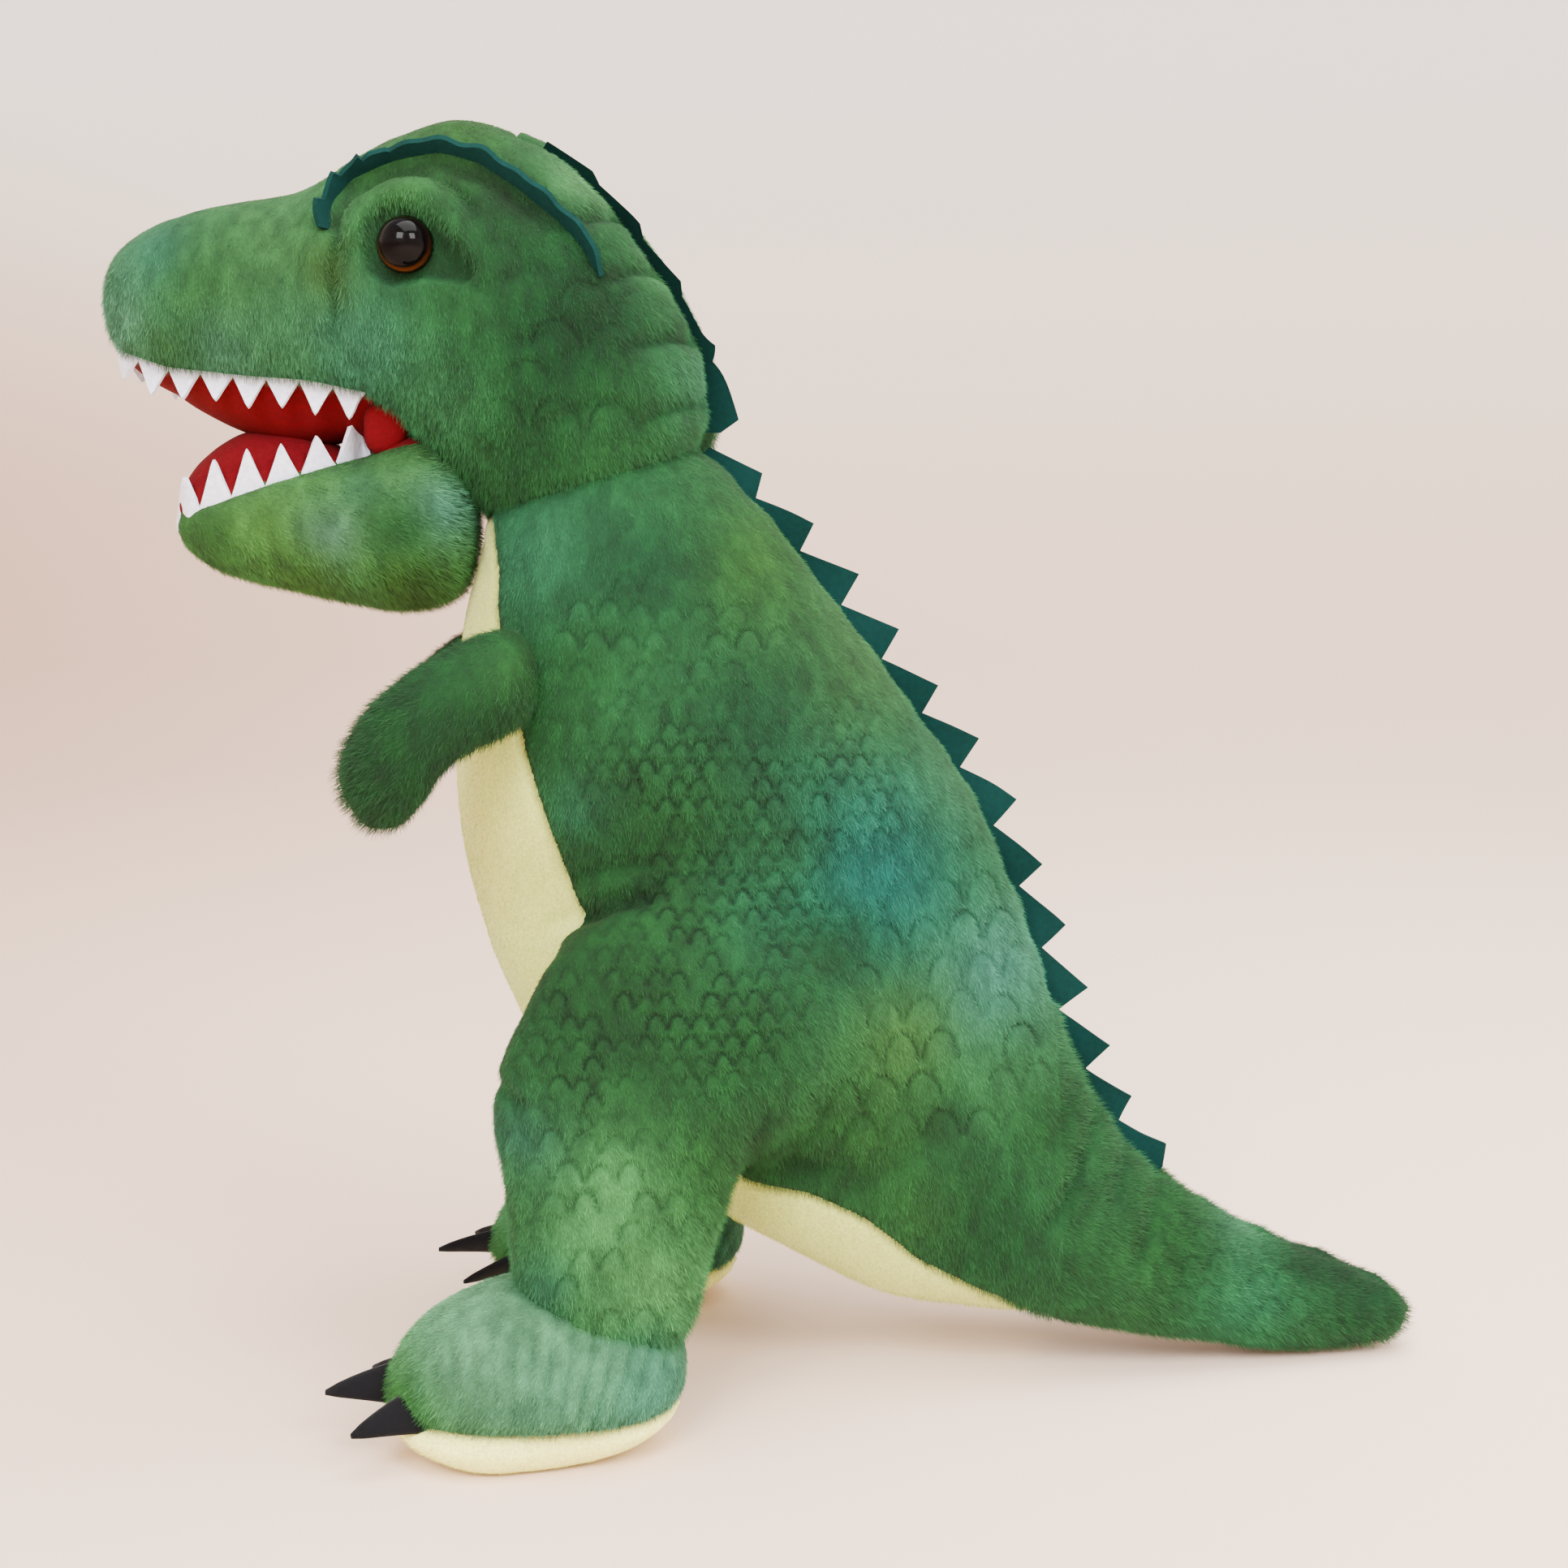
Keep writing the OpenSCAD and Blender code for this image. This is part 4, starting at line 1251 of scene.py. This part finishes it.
def add_eyes():
    """Domed safety eyes: black with an amber rim, and a fine flat collar."""
    for side, sign in SIDES:
        lo, hi = node_box(f"eye_{side}")
        r = (hi[0] - lo[0]) / 2
        seat = abs(hi[1] if sign > 0 else lo[1]) - r
        c = np.array([(lo[0] + hi[0]) / 2, sign * seat, (lo[2] + hi[2]) / 2])
        rings, count = 24, 64
        v, tint = [], []
        stem = [(1.5, -8.5), (1.5, -1.0), (r * 0.97, -1.0), (r * 1.03, -0.3), (r * 1.0, 0.3)]
        rise = np.linspace(0.0, math.pi / 2, rings)[1:-1]
        dome = [(r * math.cos(a) * 0.98, 0.3 + r * 0.92 * math.sin(a)) for a in rise]
        profile = stem + dome + [(0.02, 0.3 + r * 0.92)]
        for rad, h in profile:
            for k in range(count):
                q = 2 * math.pi * k / count
                v.append(c + np.array([rad * math.cos(q), sign * h, rad * math.sin(q)]))
                edge = rad / r
                low = 0.5 - 0.5 * math.sin(q)
                amber = step(edge, 0.82, 0.92) * (1 - step(edge, 0.95, 0.99)) * (0.04 + 0.96 * low ** 3)
                tint.append(srgb(PUPIL) + (srgb(AMBER) - srgb(PUPIL)) * amber)
        f = tube_faces(len(profile), count)[:, ::-sign]
        obj = as_object(f"eye_dome_{side}", np.array(v), f, CLOTH["eye_plastic"])
        set_paint(obj, np.array(tint))
        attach(obj, "head")
        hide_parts(f"eye_{side}")


MOUTH_BACK = (-93.6, 222.6)


def add_mouth_corner():
    """The padded fold of red felt across the back of the mouth: a roll that closes at its ends."""
    v = []
    turn = 2.6 * (1 - np.cos(np.linspace(0, math.pi / 2, 8)))
    ys = np.concatenate([[-16.8], -16.6 + turn, np.linspace(-13, 13, 12), 16.6 - turn[::-1], [16.8]])
    for y in ys:
        end = max(0, (abs(y) - 14) / 2.6)
        r = 0.3 if abs(y) > 16.7 else 3.2 + 2.4 * math.sqrt(max(0.0, 1 - end ** 2))
        for k in range(24):
            q = 2 * math.pi * k / 24
            front = math.atan2(math.sin(q), math.cos(q) + 1e-9) ** 2 - math.pi ** 2
            dent = 1 - 0.22 * math.exp(-(front / 4) ** 2)
            v.append((MOUTH_BACK[0] + r * dent * math.cos(q), y, MOUTH_BACK[1] + r * 1.1 * math.sin(q)))
    v, f = remesh(np.array(v), tube_faces(len(ys), 24), 1.0)
    v = smooth(v, f, 4)
    piece("mouth_corner", v, f, one_colour(RED, v), "red_felt", (), body="head")


def finish_cad_nodes():
    """Materials of the CAD parts that stay: the washers inside the head."""
    for side, _ in SIDES:
        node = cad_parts[f"eye_washer_{side}"]
        node.data.materials.clear()
        node.data.materials.append(WASHER)


add_body()
head_skin = add_head()
jaw_skin = add_jaw()
add_arms()
add_feet()
add_teeth(head_skin, jaw_skin)
add_spikes()
add_brows(head_skin)
add_claws()
add_eyes()
add_mouth_corner()
finish_cad_nodes()

# ---------------------------------------------------------------- stage


def cove_paper():
    """Pale paper with painted shade: peach and darker low down, and a deeper painted shadow low on the
    left.
    """
    m, nodes, links, b = tree("cove_paper")
    place = nodes.new("ShaderNodeTexCoord")
    split = nodes.new("ShaderNodeSeparateXYZ")
    links.new(place.outputs["Object"], split.inputs["Vector"])
    height = spread(nodes, links, split.outputs["Z"], 0.0, 1.0, 0.05, 0.75, "SMOOTHSTEP")
    side = spread(nodes, links, split.outputs["X"], 1.0, 0.0, -1.0, 0.4, "SMOOTHSTEP")
    # Painted shade: peach low down, near white up the wall
    ramp = nodes.new("ShaderNodeMix")
    ramp.data_type = "RGBA"
    ramp.inputs["A"].default_value = (*srgb((250, 224, 204)), 1)
    ramp.inputs["B"].default_value = (*srgb((250, 247, 243)), 1)
    links.new(height, ramp.inputs["Factor"])
    # Painted shadow, strongest low on the left and faint on the floor under the toy
    low = nodes.new("ShaderNodeMath")
    low.operation = "SUBTRACT"
    low.use_clamp = True
    links.new(side, low.inputs[0])
    links.new(height, low.inputs[1])
    painted_shadow = nodes.new("ShaderNodeMix")
    painted_shadow.data_type = "RGBA"
    painted_shadow.inputs["B"].default_value = (*srgb((204, 166, 142)), 1)
    links.new(low.outputs["Value"], painted_shadow.inputs["Factor"])
    links.new(ramp.outputs["Result"], painted_shadow.inputs["A"])
    links.new(painted_shadow.outputs["Result"], b.inputs["Base Color"])
    surface(b, 0.95)
    return m


def add_stage():
    """A seamless cove all round, so that every view has the same pale ground."""
    ring = 64
    profile = [(0, 0), (0.9, 0), (1.3, 0), (1.7, 0.05), (2.0, 0.2), (2.2, 0.5), (2.25, 1.0), (2.25, 3.0)]
    v, f = [], []
    for i in range(ring):
        a = 2 * math.pi * i / ring
        v += [(r * math.cos(a), r * math.sin(a), z - 0.0005) for r, z in profile]
    n = len(profile)
    for i in range(ring):
        j = (i + 1) % ring
        f += [(i * n + k, i * n + k + 1, j * n + k + 1, j * n + k) for k in range(n - 1)]
    mesh = bpy.data.meshes.new("cove")
    mesh.from_pydata(v, [], f)
    mesh.polygons.foreach_set("use_smooth", np.ones(len(f), bool))
    cove = bpy.data.objects.new("cove", mesh)
    bpy.context.scene.collection.objects.link(cove)
    mesh.materials.append(cove_paper())


def add_light(name, place, size, power, colour):
    data = bpy.data.lights.new(name, "AREA")
    data.shape, data.size, data.energy, data.color = "SQUARE", size, power, colour
    lamp = bpy.data.objects.new(name, data)
    bpy.context.scene.collection.objects.link(lamp)
    lamp.location = place
    lamp.rotation_mode = "QUATERNION"
    lamp.rotation_quaternion = (Vector((0, 0, 0.12)) - Vector(place)).to_track_quat("-Z", "Y")


# Name, place, size in metres, watts, colour
LAMPS = [("overhead", (0.2, -0.3, 1.7), 1.4, 54, (1, 0.98, 0.96)),
         ("front", (-0.5, -1.6, 1.0), 1.2, 5, (1, 0.97, 0.94)),
         ("window_left", (-0.4, -1.15, 0.95), 0.55, 27, (0.97, 0.98, 1)),
         ("window_right", (0.75, -1.1, 1.0), 0.55, 27, (0.97, 0.98, 1))]

add_stage()
for lamp in LAMPS:
    add_light(*lamp)
world = bpy.data.worlds.new("world")
bpy.context.scene.world = world
world.use_nodes = True
world.node_tree.nodes["Background"].inputs["Color"].default_value = (1, 0.97, 0.94, 1)
world.node_tree.nodes["Background"].inputs["Strength"].default_value = 1.15
